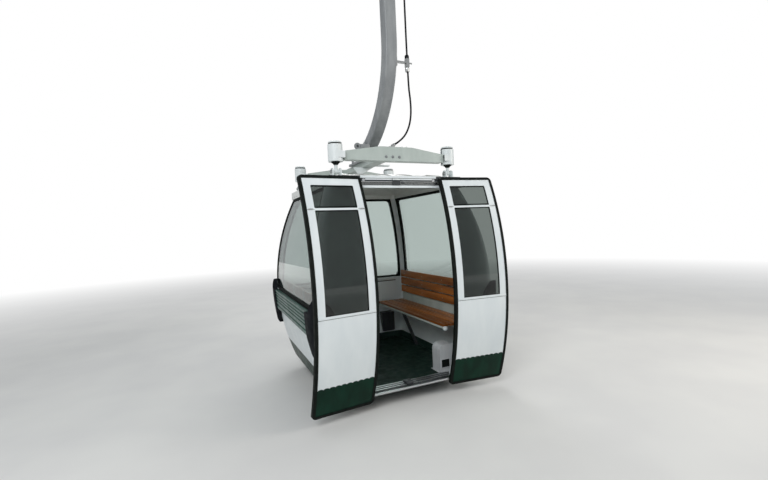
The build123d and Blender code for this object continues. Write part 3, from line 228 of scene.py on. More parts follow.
# Green enamel on the bumpers' drawn section: paler than the lacquer
bumper_green = paint(
    "pale_green_enamel", "#2f564c", "#24453d", 0.28, 0.44, 120, 3.0, 0.05, coat=0.15, shine=0.3
)
# Stoving enamel on the crossbeams, the carrier and the bench frames: pale grey green
beam_enamel = paint("grey_green_stoving_enamel", "#b0b9b4", "#a2aca7", 0.32, 0.46)
# Epoxy paint on the dampers and the roof brackets: nearly white, thick and smooth
damper_enamel = paint("white_epoxy_enamel", "#d9dede", "#c9d0d0", 0.25, 0.4)
# Machinery enamel on the arm: satin mid grey with rain streaks down it
arm_enamel = paint("machinery_enamel_grey", "#8b8e8f", "#76797b", 0.32, 0.5, 180, 3.0, 0.08)
# Moulded ABS over the door drive: light grey with a fine leather-like grain
hood_plastic = paint("abs_light_grey", "#bfc1c2", "#b3b6b8", 0.45, 0.6, 80, 2.5, 0.12)
# Dark grey enamel on the leaf arms, the locker and the bench struts: satin, a little worn. The same
# dark finish is also painted shade: on the necks between the crossbeams and the dampers, in the
# painted shadow strip under each leaf's ledge and in the painted shadow strip under the back
# window's shelf
dark_enamel_and_painted_shade = paint("dark_grey_enamel_and_painted_shade", "#3f4244", "#323537", 0.4, 0.56, 120, 3.0, 0.08, shine=0.3)


def rubber(name, colour, shade, low, high, grain_mm, depth_mm):
    """Matt rubber: dusty in blotches, with a fine moulded grain and little shine."""
    made, tree, place, surface = material(name, Specular_IOR_Level=0.07)
    dusty = between(tree, noise(tree, place, 70), colour, shade)
    tree.links.new(dusty, surface.inputs["Base Color"])
    tree.links.new(levels(tree, noise(tree, place, 30), low, high), surface.inputs["Roughness"])
    relief(tree, surface, noise(tree, place, grain_mm, detail=2.0), depth_mm)
    return made


# EPDM extrusion round panes and leaves: green black, satin where it is wiped
seal_rubber = rubber("epdm_rubber_black", "#111412", "#191d1b", 0.5, 0.7, 2.0, 0.1)
# Cast polyurethane caps on the bumpers: matt black and slightly dusty
cap_rubber = rubber("cast_polyurethane_black", "#15171a", "#212326", 0.6, 0.78, 3.0, 0.2)
# Cable jacket in PVC: smooth black with a soft sheen
cable_jacket = rubber("pvc_jacket_black", "#151617", "#1e1f20", 0.35, 0.5, 6.0, 0.05)

# Studded floor rubber: dark green, with round studs at 25 mm drawn as a smooth relief
studded_rubber, tree, place, surface = material(
    "studded_floor_rubber_green", Specular_IOR_Level=0.15
)
studs = add(tree, "TexVoronoi", {"Vector": place, "Scale": 1000 / 25, "Randomness": 0.0})
tread = add(
    tree,
    "MapRange",
    {
        "Value": studs.outputs["Distance"], "From Min": 0.24, "From Max": 0.34,
        "To Min": 1, "To Max": 0,
    },
)
dusty = between(tree, noise(tree, place, 160), "#152721", "#1f332c")
tree.links.new(dusty, surface.inputs["Base Color"])
tree.links.new(levels(tree, noise(tree, place, 60), 0.5, 0.72), surface.inputs["Roughness"])
relief(tree, surface, tread.outputs["Result"], 0.8)


def acrylic(name, colour):
    """Clear sheet, tinted through, with faint wiping marks in its gloss."""
    made, tree, place, surface = material(
        name, Base_Color=linear(colour), Transmission_Weight=1.0, IOR=1.49
    )
    wiping = noise(tree, place, 140, (2.0, 2.0, 0.6))
    tree.links.new(levels(tree, wiping, 0.0, 0.035), surface.inputs["Roughness"])
    relief(tree, surface, noise(tree, place, 320, detail=1.0), 0.4, 0.25)
    return made


# Smoked acrylic in the leaves: grey green, dark enough to hide the seats in shade
leaf_acrylic = acrylic("smoked_acrylic", "#727a76")
# Tinted acrylic in the windows: the same grey green, but much paler
window_acrylic = acrylic("tinted_acrylic", "#b4c0bc")

# Varnished larch: orange-brown slats with straight grain of about 9 mm along the bench
larch, tree, place, surface = material(
    "varnished_larch", Coat_Weight=0.2, Coat_Roughness=0.15, Specular_IOR_Level=0.25
)
grain = noise(tree, place, 9, (1, 28, 1), 5.0)
boards = noise(tree, place, 90, (1, 14, 1), 1.0)
early = between(tree, grain, "#7f4717", "#5a300d")
wood = add(
    tree,
    "Mix",
    {"Factor": levels(tree, boards, 0.0, 0.85), "A": early, "B": linear("#a86323")},
    data_type="RGBA",
)
tree.links.new(wood.outputs["Result"], surface.inputs["Base Color"])
tree.links.new(levels(tree, grain, 0.3, 0.42), surface.inputs["Roughness"])
relief(tree, surface, grain, 0.12)


def metal(name, colour, shade, low, high, size_mm, stretch=(1, 1, 1), depth_mm=0.05):
    """Bare or plated metal: a brushed, cast or drawn grain, with uneven gloss."""
    made, tree, place, surface = material(name, Metallic=1.0)
    marks = noise(tree, place, size_mm, stretch, 4.0)
    tree.links.new(between(tree, marks, colour, shade), surface.inputs["Base Color"])
    tree.links.new(levels(tree, marks, low, high), surface.inputs["Roughness"])
    relief(tree, surface, marks, depth_mm, 0.5)
    return made


# Mill-finish aluminium of the sill, guide rail and pulleys: pale, with fine lines along X
mill_aluminium = metal("mill_finish_aluminium", "#d3d5d6", "#b9bcbe", 0.25, 0.4, 3.0, (40, 1, 1))
# Galvanised forging of the grip: mottled grey spangle, rough as cast
galvanised = metal("galvanised_forged_steel", "#8f9396", "#7f8386", 0.46, 0.58, 22.0, depth_mm=0.1)
# Zinc-plated bolts, pins and rods: bright and a little cloudy
zinc = metal("zinc_plated_steel", "#c6c8c7", "#a4a6a5", 0.22, 0.4, 9.0)
# Ground steel of the spring plunger: bright, with fine marks across X
ground_steel = metal("ground_bright_steel", "#cfd0d0", "#b4b6b7", 0.15, 0.28, 2.0, (1, 12, 12))

# Cast polyamide rollers: dark amber grey and slightly cloudy, with a faint cast relief
polyamide, tree, place, surface = material("cast_polyamide", Subsurface_Weight=0.05)
resin = between(tree, noise(tree, place, 40), "#3b3834", "#4a4640")
tree.links.new(resin, surface.inputs["Base Color"])
tree.links.new(levels(tree, noise(tree, place, 12), 0.35, 0.55), surface.inputs["Roughness"])
relief(tree, surface, noise(tree, place, 5), 0.1)

# Finish of each node that comes from the CAD
NODE_FINISH = {
    white_powder: "corner_posts end_panel_front end_panel_rear back_panel door_jambs door_header "
    "leaf_panel_left leaf_panel_right",
    gel_coat: "roof",
    bottle_green: "skirt leaf_kick_left leaf_kick_right",
    bumper_green: "bumper_front bumper_rear",
    beam_enamel: "crossbeams carrier bench_panels bench_frame_front bench_frame_rear "
    "spring_housing",
    damper_enamel: "damper_cylinders roof_brackets",
    arm_enamel: "hanger_arm hanger_foot hanger_hub",
    hood_plastic: "mechanism_hood",
    dark_enamel_and_painted_shade: "back_locker leaf_arms",
    seal_rubber: "window_seals leaf_rubber_left leaf_rubber_right",
    cap_rubber: "bumper_caps",
    cable_jacket: "control_cable",
    studded_rubber: "floor_mat",
    leaf_acrylic: "leaf_glass_left leaf_glass_right",
    window_acrylic: "window_pane_front window_pane_rear window_pane_back",
    larch: "bench_slats_front bench_slats_rear",
    mill_aluminium: "door_sill friction_plate",
    galvanised: "grip_body moving_jaw roller_carriage",
    zinc: "cable_clamps door_guides grip_pins",
    ground_steel: "spring_plunger",
    polyamide: "running_roller_front running_roller_rear guide_roller lever_roller",
}
for finish, names in NODE_FINISH.items():
    for name in names.split():
        nodes[name].data.materials.clear()
        nodes[name].data.materials.append(finish)
cable.data.materials.append(cable_jacket)


def second_finish(piece, finish, test):
    """Another finish on those faces of a piece whose middle and direction pass a test."""
    slots = piece.data.materials
    slots.append(finish)
    for face in piece.data.polygons:
        if test(face.center, face.normal):
            face.material_index = len(slots) - 1


# Walls inside are white down to the mat, and so are the leaves' kick panels inside
second_finish(
    nodes["skirt"],
    white_powder,
    lambda middle, way: way.x * middle.x + way.y * middle.y < -0.2 and middle.z > level(-0.02),
)
for name, side in SIDES.items():
    second_finish(
        nodes[f"leaf_kick_{name}"],
        white_powder,
        lambda middle, way: way.y - side * 0.1 * way.x > 0.7,
    )
# Dark plates behind the header's rails and between the sill's rails, and the dark drive box
second_finish(
    nodes["door_header"], dark_enamel_and_painted_shade, lambda middle, way: way.y < -0.9 and middle.y > -0.8
)
second_finish(
    nodes["door_sill"], dark_enamel_and_painted_shade, lambda middle, way: way.z > 0.9 and middle.z < level(0.006)
)
second_finish(nodes["door_guides"], dark_enamel_and_painted_shade, lambda middle, way: -0.081 < middle.x < 0.001)
# Struts under the benches, and painted shade on the necks between the crossbeams and the dampers
for name in ENDS:
    second_finish(
        nodes[f"bench_frame_{name}"], dark_enamel_and_painted_shade, lambda middle, way: middle.z < level(0.44)
    )
# Painted shade: the narrow gap at each neck between a crossbeam and its damper gets the dark finish
second_finish(
    nodes["damper_cylinders"],
    dark_enamel_and_painted_shade,
    lambda middle, way: abs(middle.x) < DAMPER_X - 0.0675,
)


# How the added pieces are made
def fresh(primitive, name, scale=(1, 1, 1), **how):
    """A primitive at its size and place, alone selected, in edit mode, its place in its mesh."""
    bpy.ops.object.select_all(action="DESELECT")
    primitive(**how)
    made = bpy.context.object
    made.name = name
    made.scale = scale
    bpy.ops.object.transform_apply(location=True, rotation=True, scale=True)
    bpy.ops.object.mode_set(mode="EDIT")
    return made


def pick(piece, test, kind="FACE"):
    """Selects the faces or edges whose middle and direction pass a test."""
    bpy.ops.mesh.select_mode(type=kind)
    bpy.ops.mesh.select_all(action="DESELECT")
    shape = bmesh.from_edit_mesh(piece.data)
    if kind == "FACE":
        for face in shape.faces:
            face.select_set(bool(test(face.calc_center_median(), face.normal)))
    else:
        for edge in shape.edges:
            first, second = (corner.co for corner in edge.verts)
            edge.select_set(bool(test((first + second) / 2, (second - first).normalized())))
    shape.select_flush_mode()
    bmesh.update_edit_mesh(piece.data)


def soften(width):
    """Rounds every edge of the piece in hand."""
    bpy.ops.mesh.select_mode(type="EDGE")
    bpy.ops.mesh.select_all(action="SELECT")
    bpy.ops.mesh.bevel(offset=width, segments=2, affect="EDGES", clamp_overlap=True)


def done(piece, finish, body="cabin", smooth=30):
    """Out of edit mode: faces outwards, smooth by angle, finish on, riding on its body."""
    bpy.ops.mesh.select_all(action="SELECT")
    bpy.ops.mesh.remove_doubles(threshold=0.00005)
    bpy.ops.mesh.normals_make_consistent(inside=False)
    bpy.ops.object.mode_set(mode="OBJECT")
    bpy.ops.object.shade_smooth_by_angle(angle=math.radians(smooth))
    piece.data.materials.clear()
    piece.data.materials.append(finish)
    if body:
        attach(piece, body)
    return piece


def stand(place, toward):
    """Matrix that moves the origin to a place and turns Z to a direction."""
    turn = Vector(toward).to_track_quat("Z", "Y").to_matrix().to_4x4()
    return Matrix.Translation(place) @ turn


def copies(model, name, places, body="cabin"):
    """One piece of a model's copies, its Z turned to each direction at each place."""
    bpy.ops.object.select_all(action="DESELECT")
    for place, toward in places:
        copy = model.copy()
        copy.data = model.data.copy()
        copy.data.transform(stand(place, toward))
        bpy.context.scene.collection.objects.link(copy)
        copy.select_set(True)
    bpy.context.view_layer.objects.active = copy
    bpy.ops.object.join()
    copy.name = name
    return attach(copy, body)


def box(name, middle, size, finish, round_by=0.002, turn=(0, 0, 0)):
    """A block with rounded edges."""
    piece = fresh(
        bpy.ops.mesh.primitive_cube_add, name, size, size=1, location=middle, rotation=turn
    )
    soften(round_by)
    return done(piece, finish)


def turned(name, middle, toward, rings, finish, body="cabin", sides=32):
    """A turned part: a disc drawn out along its axis in steps of (radius, distance)."""
    piece = fresh(
        bpy.ops.mesh.primitive_circle_add,
        name,
        vertices=sides,
        radius=rings[0][0],
        fill_type="NGON",
        location=(0, 0, rings[0][1]),
    )
    bpy.ops.mesh.select_all(action="SELECT")
    for (before, start), (radius, distance) in zip(rings, rings[1:]):
        bpy.ops.mesh.extrude_region_move(TRANSFORM_OT_translate={"value": (0, 0, distance - start)})
        bpy.ops.transform.resize(
            value=(radius / before, radius / before, 1), center_override=(0, 0, distance)
        )
    done(piece, finish, body=None, smooth=35)
    piece.data.transform(stand(middle, toward))
    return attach(piece, body) if body else piece


def turned_model(name, rings, finish, sides=32):
    """A turned part along Z that rides on nothing, to make copies of."""
    return turned(name, (0, 0, 0), (0, 0, 1), rings, finish, None, sides)


def bolt_model(across, height, washer):
    """Hexagon bolt head with a chamfered top on a round washer, standing on Z = 0."""
    head = fresh(
        bpy.ops.mesh.primitive_cylinder_add,
        "bolt_head",
        vertices=6,
        radius=across / math.sqrt(3),
        depth=height,
        location=(0, 0, washer + height / 2),
    )
    pick(head, lambda middle, way: way.z > 0.9)
    bpy.ops.mesh.inset(thickness=across * 0.1, depth=height * 0.14)
    bpy.ops.mesh.primitive_cylinder_add(
        vertices=20, radius=across * 0.92, depth=washer, location=(0, 0, washer / 2)
    )
    pick(head, lambda middle, way: way.z > 0.9 and middle.z < washer * 1.1)
    bpy.ops.mesh.inset(thickness=washer * 0.3, depth=washer * 0.2)
    return done(head, zinc, body=None)


def arc_place(on, across, height, proud):
    """Place and outward direction on a curved sheet of the body."""
    outward, along, start, middle, radius = on
    rise = math.asin((height - WAIST) / radius)
    ray = outward * math.cos(rise) + Vector((0, 0, math.sin(rise)))
    centre = start + outward * (middle - radius) + along * across
    centre.z = level(WAIST)
    return centre + ray * (radius + proud), ray


def aim(along, ray):
    """Turn of a piece whose X runs along a sheet and whose Y points out of it."""
    return Matrix((along, ray, along.cross(ray))).transposed().to_euler()


def strip(name, on, across, low, high, width, depth, proud, finish):
    """A strip up a curved sheet between two heights, spun about the sheet's own centre."""
    outward, along, start, middle, radius = on
    place, ray = arc_place(on, across, low, proud - depth / 2)
    piece = fresh(
        bpy.ops.mesh.primitive_plane_add,
        name,
        (width, depth, 1),
        size=1,
        location=place,
        rotation=aim(along, ray),
    )
    bpy.ops.mesh.select_all(action="SELECT")
    centre = start + outward * (middle - radius) + along * across
    centre.z = level(WAIST)
    bpy.ops.mesh.spin(
        steps=max(4, round((high - low) / 0.06)),
        angle=math.asin((high - WAIST) / radius) - math.asin((low - WAIST) / radius),
        center=centre,
        axis=Vector((0, 0, 1)).cross(outward),
    )
    pick(piece, lambda middle, way: abs(way.dot(along)) < 0.5 and abs(way.z) > 0.5, "EDGE")
    bpy.ops.mesh.bevel(offset=min(width, depth) * 0.2, segments=2, affect="EDGES")
    return done(piece, finish, smooth=40)


def crossbar(name, on, first, last, height, width, depth, proud, finish):
    """A straight bar across a curved sheet at one height."""
    place, ray = arc_place(on, (first + last) / 2, height, proud - depth / 2)
    size = (last - first, depth, width)
    return box(name, place, size, finish, min(width, depth) * 0.25, aim(on[1], ray))


def leaf_sheet(side):
    """Outer face of the leaf at one side of the doorway."""
    splay = math.radians(6)
    outward = Vector((-side * math.sin(splay), -math.cos(splay), 0))
    along = Vector((side * math.cos(splay), -math.sin(splay), 0))
    return outward, along, Vector((side * 0.438, -0.89, 0)), 0.192, SIDE_RADIUS + 0.082


def end_sheet(side):
    """Outer face of the body at one end."""
    return Vector((side, 0, 0)), Vector((0, 1, 0)), Vector((0, 0, 0)), HALF_LENGTH, END_RADIUS


# Bumpers: an extrusion with five lengthwise grooves, that stands for the plain CAD one
for end, side in ENDS.items():
    bottom = end_reach(BUMPER_LOW, -BUMPER_PROUD)
    top = end_reach(BUMPER_HIGH, -BUMPER_PROUD)
    bumper = fresh(
        bpy.ops.mesh.primitive_cube_add,
        f"bumper_section_{end}",
        (BUMPER_DEPTH, BUMPER_LENGTH, BUMPER_HIGH - BUMPER_LOW),
        size=1,
        location=(
            side * (bottom - BUMPER_DEPTH / 2), 0, level((BUMPER_LOW + BUMPER_HIGH) / 2)
        ),
    )
    pick(bumper, lambda middle, way: way.z > 0.9)
    bpy.ops.transform.translate(value=(side * (top - bottom), 0, 0))
    front = end_reach(BUMPER_MIDDLE, -0.02)
    pick(bumper, lambda middle, way: abs(way.z) > 0.8 and side * middle.x > front, "EDGE")
    bpy.ops.mesh.subdivide(number_cuts=BUMPER_ROWS - 1)
    pitch = (BUMPER_HIGH - BUMPER_LOW) / BUMPER_ROWS
    grooves = [level(BUMPER_HIGH - pitch * (row + 0.5)) for row in GROOVE_ROWS]
    pick(
        bumper,
        lambda middle, way: side * way.x > 0.8
        and min(abs(middle.z - row) for row in grooves) < 0.006,
    )
    bpy.ops.mesh.extrude_region_move(
        TRANSFORM_OT_translate={"value": (-side * GROOVE_DEPTH, 0, 0)}
    )
    pick(bumper, lambda middle, way: abs(way.y) > 0.9 and side * middle.x > front, "EDGE")
    bpy.ops.mesh.bevel(offset=0.0022, segments=2, affect="EDGES", clamp_overlap=True)
    done(bumper, bumper_green, smooth=25)
    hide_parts(f"bumper_{end}")

# Leaves: ledge with a painted shadow strip under it, joints and knuckles of the vent, and glazing
# beads
hinge_model = turned_model(
    "knuckle", ((0.0045, -0.02), (0.006, -0.018), (0.006, 0.018), (0.0045, 0.02)), zinc, 12
)
bead = {"width": 0.005, "depth": 0.02, "proud": -0.002, "finish": seal_rubber}
for name, side in SIDES.items():
    on = leaf_sheet(side)
    crossbar(
        f"leaf_ledge_{name}", on, 0.002, 0.528, LEDGE_HEIGHT,
        width=0.022, depth=0.013, proud=0.0066, finish=white_powder,
    )
    # Painted shadow: a thin dark strip just under the ledge
    crossbar(
        f"leaf_ledge_painted_shadow_{name}", on, 0.001, 0.529, LEDGE_HEIGHT - 0.0135,
        width=0.003, depth=0.006, proud=0.0008, finish=dark_enamel_and_painted_shade,
    )
    for low, high in ((0.0, 0.066), (0.464, 0.53)):
        crossbar(
            f"vent_joint_{name}_{round(low * 1000)}", on, low, high, VENT_JOINT,
            width=0.003, depth=0.004, proud=0.0005, finish=dark_enamel_and_painted_shade,
        )
    for low, high, part in ((0.8, 1.676, "pane"), (1.694, 1.895, "vent")):
        for across in (0.0695, 0.4605):
            strip(
                f"{part}_bead_{name}_{round(across * 1000)}", on, across,
                low + 0.002, high - 0.002, **bead,
            )
        for height in (low + 0.0145, high - 0.0035):
            crossbar(
                f"{part}_bead_{name}_{round(height * 1000)}", on, 0.068, 0.462, height, **bead
            )
    knuckles = [(arc_place(on, across, VENT_JOINT, 0.002)[0], on[1]) for across in (0.03, 0.5)]
    copies(hinge_model, f"vent_knuckles_{name}", knuckles)
bpy.data.objects.remove(hinge_model)

# Suspension: bolts of crossbeams and clevises, and the dampers' rings, caps and collars
bolt_m16 = bolt_model(0.024, 0.010, 0.003)
bolt_m10 = bolt_model(0.015, 0.0065, 0.002)
face_bolts = copies(
    bolt_m10,
    "crossbeam_face_bolts",
    [
        ((x, y * BEAM_FACE, level(2.185)), (0, y, 0))
        for x in (-0.112, -0.042, 0.028)
        for y in (-1, 1)
    ],
)
face_bolts.data.materials.clear()
face_bolts.data.materials.append(arm_enamel)
copies(
    bolt_m16,
    "crossbeam_top_bolts",
    [((x, y * BEAM_Y, level(2.282)), (0, 0, 1)) for x in (0.075, 0.125) for y in (-1, 1)],
)
corners = [(x * DAMPER_X, y * BEAM_Y) for x in (-1, 1) for y in (-1, 1)]
ring_model = turned_model(
    "damper_ring",
    ((0.05, 0), (0.06, 0), (0.062, 0.004), (0.06, 0.012), (0.05, 0.012)),
    seal_rubber,
)
cap_model = turned_model(
    "damper_cap",
    (
        (0.055, 0), (0.0625, 0.001), (0.0635, 0.006), (0.058, 0.014), (0.035, 0.02),
        (0.014, 0.022), (0.012, 0.022),
    ),
    damper_enamel,
)
collar_model = turned(
    "rod_collar", (0, 0, 0), (0, 0, -1),
    ((0.04, 0), (0.04, 0.008), (0.03, 0.014), (0.022, 0.024), (0.018, 0.03)), seal_rubber, None,
)
for model, name, height in (
    (ring_model, "damper_rings", 2.285),
    (cap_model, "damper_caps", 2.297),
    (collar_model, "rod_collars", 2.13),
):
    copies(model, name, [((x, y, level(height)), (0, 0, 1)) for x, y in corners])
    bpy.data.objects.remove(model)
copies(
    bolt_m16,
    "clevis_bolts",
    [((x + way * 0.044, y, level(2.041)), (way, 0, 0)) for x, y in corners for way in (-1, 1)],
)

# Arm: bolts through the foot's cheeks and its flange
foot_places = ((-0.1, 2.33), (0.02, 2.33), (0.16, 2.31), (-0.1, 2.40), (0.02, 2.36))
foot_bolts = [
    ((side * 0.074, y, level(height)), (side, 0, 0))
    for side in (-1, 1)
    for y, height in foot_places
]
flange_bolts = [
    ((side * 0.089, y, level(2.282)), (0, 0, 1))
    for side in (-1, 1)
    for y in (-0.15, 0.0, 0.15, 0.29)
]
copies(bolt_m16, "foot_bolts", foot_bolts + flange_bolts)

# Lug with a dark eye beside the foot, and the white stop plate and tie under the carrier
eye = turned(
    "foot_lug", (LUG_X, LUG_Y, level(LUG_HEIGHT)), (0, 1, 0),
    (
        (0.014, -0.006), (0.034, -0.006), (0.036, -0.004), (0.036, 0.004), (0.034, 0.006),
        (0.014, 0.006),
    ),
    arm_enamel,
)
second_finish(
    eye,
    dark_enamel_and_painted_shade,
    lambda middle, way: abs(way.y) > 0.9
    and math.hypot(middle.x - LUG_X, middle.z - level(LUG_HEIGHT)) < 0.003,
)
box("foot_lug_stem", (-0.14, LUG_Y, level(LUG_HEIGHT)), (0.11, 0.012, 0.05), arm_enamel)
stop = fresh(
    bpy.ops.mesh.primitive_cube_add, "carrier_stop_plate", (0.24, 0.012, 0.08), size=1,
    location=(-0.05, 0, level(2.165)),
)
pick(stop, lambda middle, way: way.z < -0.9)
bpy.ops.transform.resize(value=(0.14, 1, 1), center_override=(-0.104, 0, 0))
soften(0.002)
done(stop, damper_enamel)
box("carrier_cross_tie", (0.168, 0, level(2.23)), (0.21, 0.05, 0.018), damper_enamel, 0.004)

# Control cable: dark knob on the lower clamp, cross pin and bright ferrules
for name, low, high, finish in (
    ("cable_knob", 3.17, 3.206, cap_rubber),
    ("cable_ferrule", 3.04, 3.085, zinc),
    ("cable_upper_ferrule", 3.765, 3.81, zinc),
):
    length = high - low
    turned(
        name, (CABLE_X, ARM_Y, level(low)), (0, 0, 1),
        (
            (0.012, 0), (0.019, 0), (0.0215, 0.004), (0.0215, length - 0.01), (0.014, length),
            (0.0095, length),
        ),
        finish, sides=20,
    )
turned(
    "cable_cross_pin", (0.144, ARM_Y, level(3.128)), (1, 0, 0),
    ((0.006, 0), (0.008, 0.001), (0.008, 0.096), (0.006, 0.097)), zinc, sides=16,
)

# Header: toothed belt on two pulleys with its clip, thin rods under it and rubber stops
pulley_rings = (
    (0.012, 0), (0.0135, 0.0005), (0.0135, 0.002), (0.0115, 0.0025), (0.0115, 0.0075),
    (0.0135, 0.008), (0.0135, 0.0095), (0.005, 0.0095), (0.005, 0.011), (0.004, 0.0115),
)
for side in (-1, 1):
    turned(
        f"belt_pulley_{side + 1}", (side * PULLEY_X, -0.7958, level(PULLEY_HEIGHT)),
        (0, -1, 0), pulley_rings, mill_aluminium, sides=28,
    )
    box(
        f"header_stop_{side + 1}", (side * 0.395, -0.8, level(1.93)),
        (0.012, 0.009, 0.03), cap_rubber,
    )
for height in (1.9465, 1.9685):
    box(
        f"toothed_belt_{round(height * 10000)}", (0, -0.8005, level(height)),
        (2 * PULLEY_X, 0.0055, 0.0018), seal_rubber, 0.0004,
    )
for height in (1.918, 1.9285):
    turned(
        f"header_rod_{round(height * 10000)}", (-0.5, -0.802, level(height)), (1, 0, 0),
        ((0.002, 0), (0.0032, 0.001), (0.0032, 0.999), (0.002, 1.0)), zinc, sides=12,
    )
box("drive_belt_clip", (0.03, -0.8035, level(1.9425)), (0.036, 0.011, 0.031), dark_enamel_and_painted_shade)
# Pale strip under the header's upper rail, stepped over the drive box
for part, middle, length, face in (
    (0, -0.2185, 0.275, -0.8046),
    (1, -0.04, 0.082, -0.8128),
    (2, 0.1785, 0.355, -0.8046),
):
    box(
        f"header_strip_{part}", (middle, face, level(1.965)),
        (length, 0.002, 0.0125), white_powder, 0.0005,
    )

# Sill: outer guide rail for the leaves' lower rollers, and the dark catch across the rails
box("outer_guide_plate", (0, -0.864, level(-0.004)), (0.8, 0.062, 0.006), dark_enamel_and_painted_shade, 0.001)
box("outer_guide_rail", (0, -0.895, level(-0.002)), (0.8, 0.016, 0.018), mill_aluminium, 0.003)
catch = fresh(
    bpy.ops.mesh.primitive_cube_add, "sill_catch", (0.07, 0.09, 0.022), size=1,
    location=(-0.006, -0.81, level(0.018)),
)
pick(catch, lambda middle, way: way.z > 0.9)
bpy.ops.mesh.inset(thickness=0.012, depth=0.006)
soften(0.002)
done(catch, dark_enamel_and_painted_shade)

# Mat turned up the walls as a cove, open at the doorway
mat_end, mat_side = end_reach(0, MAT_INSET), side_reach(0, MAT_INSET)
cove = fresh(
    bpy.ops.mesh.primitive_plane_add, "mat_cove",
    (2 * mat_end - 0.002, 2 * mat_side - 0.002, 1), size=1, location=(0, 0, level(0.0005)),
)
bpy.ops.mesh.select_all(action="SELECT")
bpy.ops.mesh.bevel(offset=0.055, segments=8, affect="VERTICES")
bpy.ops.mesh.select_all(action="SELECT")
bpy.ops.mesh.extrude_region_move(TRANSFORM_OT_translate={"value": (0, 0, COVE_HEIGHT)})
bpy.ops.transform.resize(
    value=(
        end_reach(COVE_HEIGHT, MAT_INSET) / mat_end,
        side_reach(COVE_HEIGHT, MAT_INSET) / mat_side,
        1,
    ),
    center_override=(0, 0, level(COVE_HEIGHT)),
)
pick(cove, lambda middle, way: abs(way.z) > 0.9 or way.y < -0.9)
bpy.ops.mesh.delete(type="FACE")
bpy.ops.mesh.select_all(action="SELECT")
bpy.ops.mesh.normals_make_consistent(inside=False)
bpy.ops.object.mode_set(mode="OBJECT")
wall = cove.modifiers.new("wall", "SOLIDIFY")
wall.thickness = 0.003
wall.offset = -1
bpy.ops.object.modifier_apply(modifier=wall.name)
bpy.ops.object.mode_set(mode="EDIT")
done(cove, studded_rubber)

# Hood: dark slot of the emergency release in a raised frame, its flange and screws
slot = fresh(
    bpy.ops.mesh.primitive_cube_add, "hood_release_frame", (0.106, 0.006, 0.092), size=1,
    location=(0.473, -0.7325, level(0.09)),
)
pick(slot, lambda middle, way: way.y < -0.9)
bpy.ops.mesh.inset(thickness=0.006, depth=0)
bpy.ops.mesh.extrude_region_move(TRANSFORM_OT_translate={"value": (0, 0.0045, 0)})
pick(slot, lambda middle, way: abs(way.y) > 0.9, "EDGE")
bpy.ops.mesh.bevel(offset=0.003, segments=2, affect="EDGES", clamp_overlap=True)
done(slot, hood_plastic)
second_finish(slot, seal_rubber, lambda middle, way: way.y < -0.9 and middle.y > -0.7335)
box("hood_flange", (0.505, -0.655, level(0.003)), (0.222, 0.182, 0.005), hood_plastic, 0.0015)
small_bolt = bolt_model(0.009, 0.004, 0.0012)
copies(
    small_bolt,
    "hood_screws",
    [
        ((x, y, level(0.0055)), (0, 0, 1))
        for x in (0.402, 0.608)
        for y in (-0.73, -0.655, -0.58)
    ],
)

# Benches: countersunk screws through the slats at each bar, and the rail's end blocks
screw_model = turned_model(
    "slat_screw",
    ((0.0055, 0), (0.0055, 0.0006), (0.0046, 0.001), (0.002, 0.0004), (0.0018, 0.0004)),
    zinc,
    16,
)
bars = [BENCH_START + share * BENCH_LENGTH for share in (0.06, 0.35, 0.64, 0.93)]
for end, side in ENDS.items():
    seats = [
        ((side * (SEAT_START + SEAT_PITCH * (row + 0.42)), y, level(SEAT_TOP)), (0, 0, 1))
        for row in range(5)
        for y in bars
    ]
    backs = [
        ((side * BACK_X, y, level(BACK_LOW + BACK_PITCH * row + 0.044)), (-side, 0, 0))
        for row in range(3)
        for y in bars
    ]
    copies(screw_model, f"slat_screws_{end}", seats + backs)
    box(
        f"rail_end_block_{end}", (side * 0.455, -0.778, level(0.463)),
        (0.036, 0.028, 0.038), white_powder, 0.005,
    )

# Body: shelf and dark strip under the back window, band over each bumper, rivets on the rim
rivet_model = turned_model(
    "rivet",
    ((0.005, 0), (0.0055, 0.0006), (0.004, 0.002), (0.0016, 0.0026), (0.001, 0.0026)),
    zinc,
    12,
)
box("window_shelf", (0, 0.948, level(0.792)), (1.5, 0.024, 0.018), white_powder, 0.004)
box("shelf_shadow_strip", (0, 0.953, level(0.765)), (1.5, 0.012, 0.009), dark_enamel_and_painted_shade)
for end, side in ENDS.items():
    crossbar(
        f"bumper_band_{end}", end_sheet(side), -0.79, 0.79, BUMPER_HIGH + 0.0055,
        width=0.009, depth=0.02, proud=0.012, finish=seal_rubber,
    )
    copies(
        rivet_model,
        f"rim_rivets_{end}",
        [
            ((side * 0.7285, -0.66 + 0.12 * step, level(1.925)), (side, 0, 0))
            for step in range(12)
        ],
    )

# Grip: bolts of the roller carriage and of the arch
copies(
    bolt_m16,
    "carriage_bolts",
    [((x, 0.118, z), (0, 1, 0)) for x in (-0.075, 0.075) for z in (0.078, 0.112)],
    "grip",
)
copies(
    bolt_m10,
    "arch_bolts",
    [((x, y, 0.15), (0, 0, 1)) for x in (-0.1, 0.1) for y in (-0.16, -0.1)],
    "grip",
)

# Hub: clamping ring round the hanger's eye, with its screws
turned(
    "hub_ring", (0, -0.29, HUB_Z), (0, 1, 0),
    (
        (0.0775, 0), (0.084, 0.0005), (HUB_RING_RADIUS, 0.003), (HUB_RING_RADIUS, 0.019),
        (0.084, 0.0215), (0.0775, 0.022),
    ),
    arm_enamel,
)
ring_screws = []
for step in (30, 90, 150, 210, 270, 330):
    across, up = math.cos(math.radians(step)), math.sin(math.radians(step))
    place = (HUB_RING_RADIUS * across, -0.279, HUB_Z + HUB_RING_RADIUS * up)
    ring_screws.append((place, (across, 0, up)))
copies(bolt_m10, "hub_ring_screws", ring_screws)
for model in (bolt_m16, bolt_m10, small_bolt, screw_model, rivet_model):
    bpy.data.objects.remove(model)

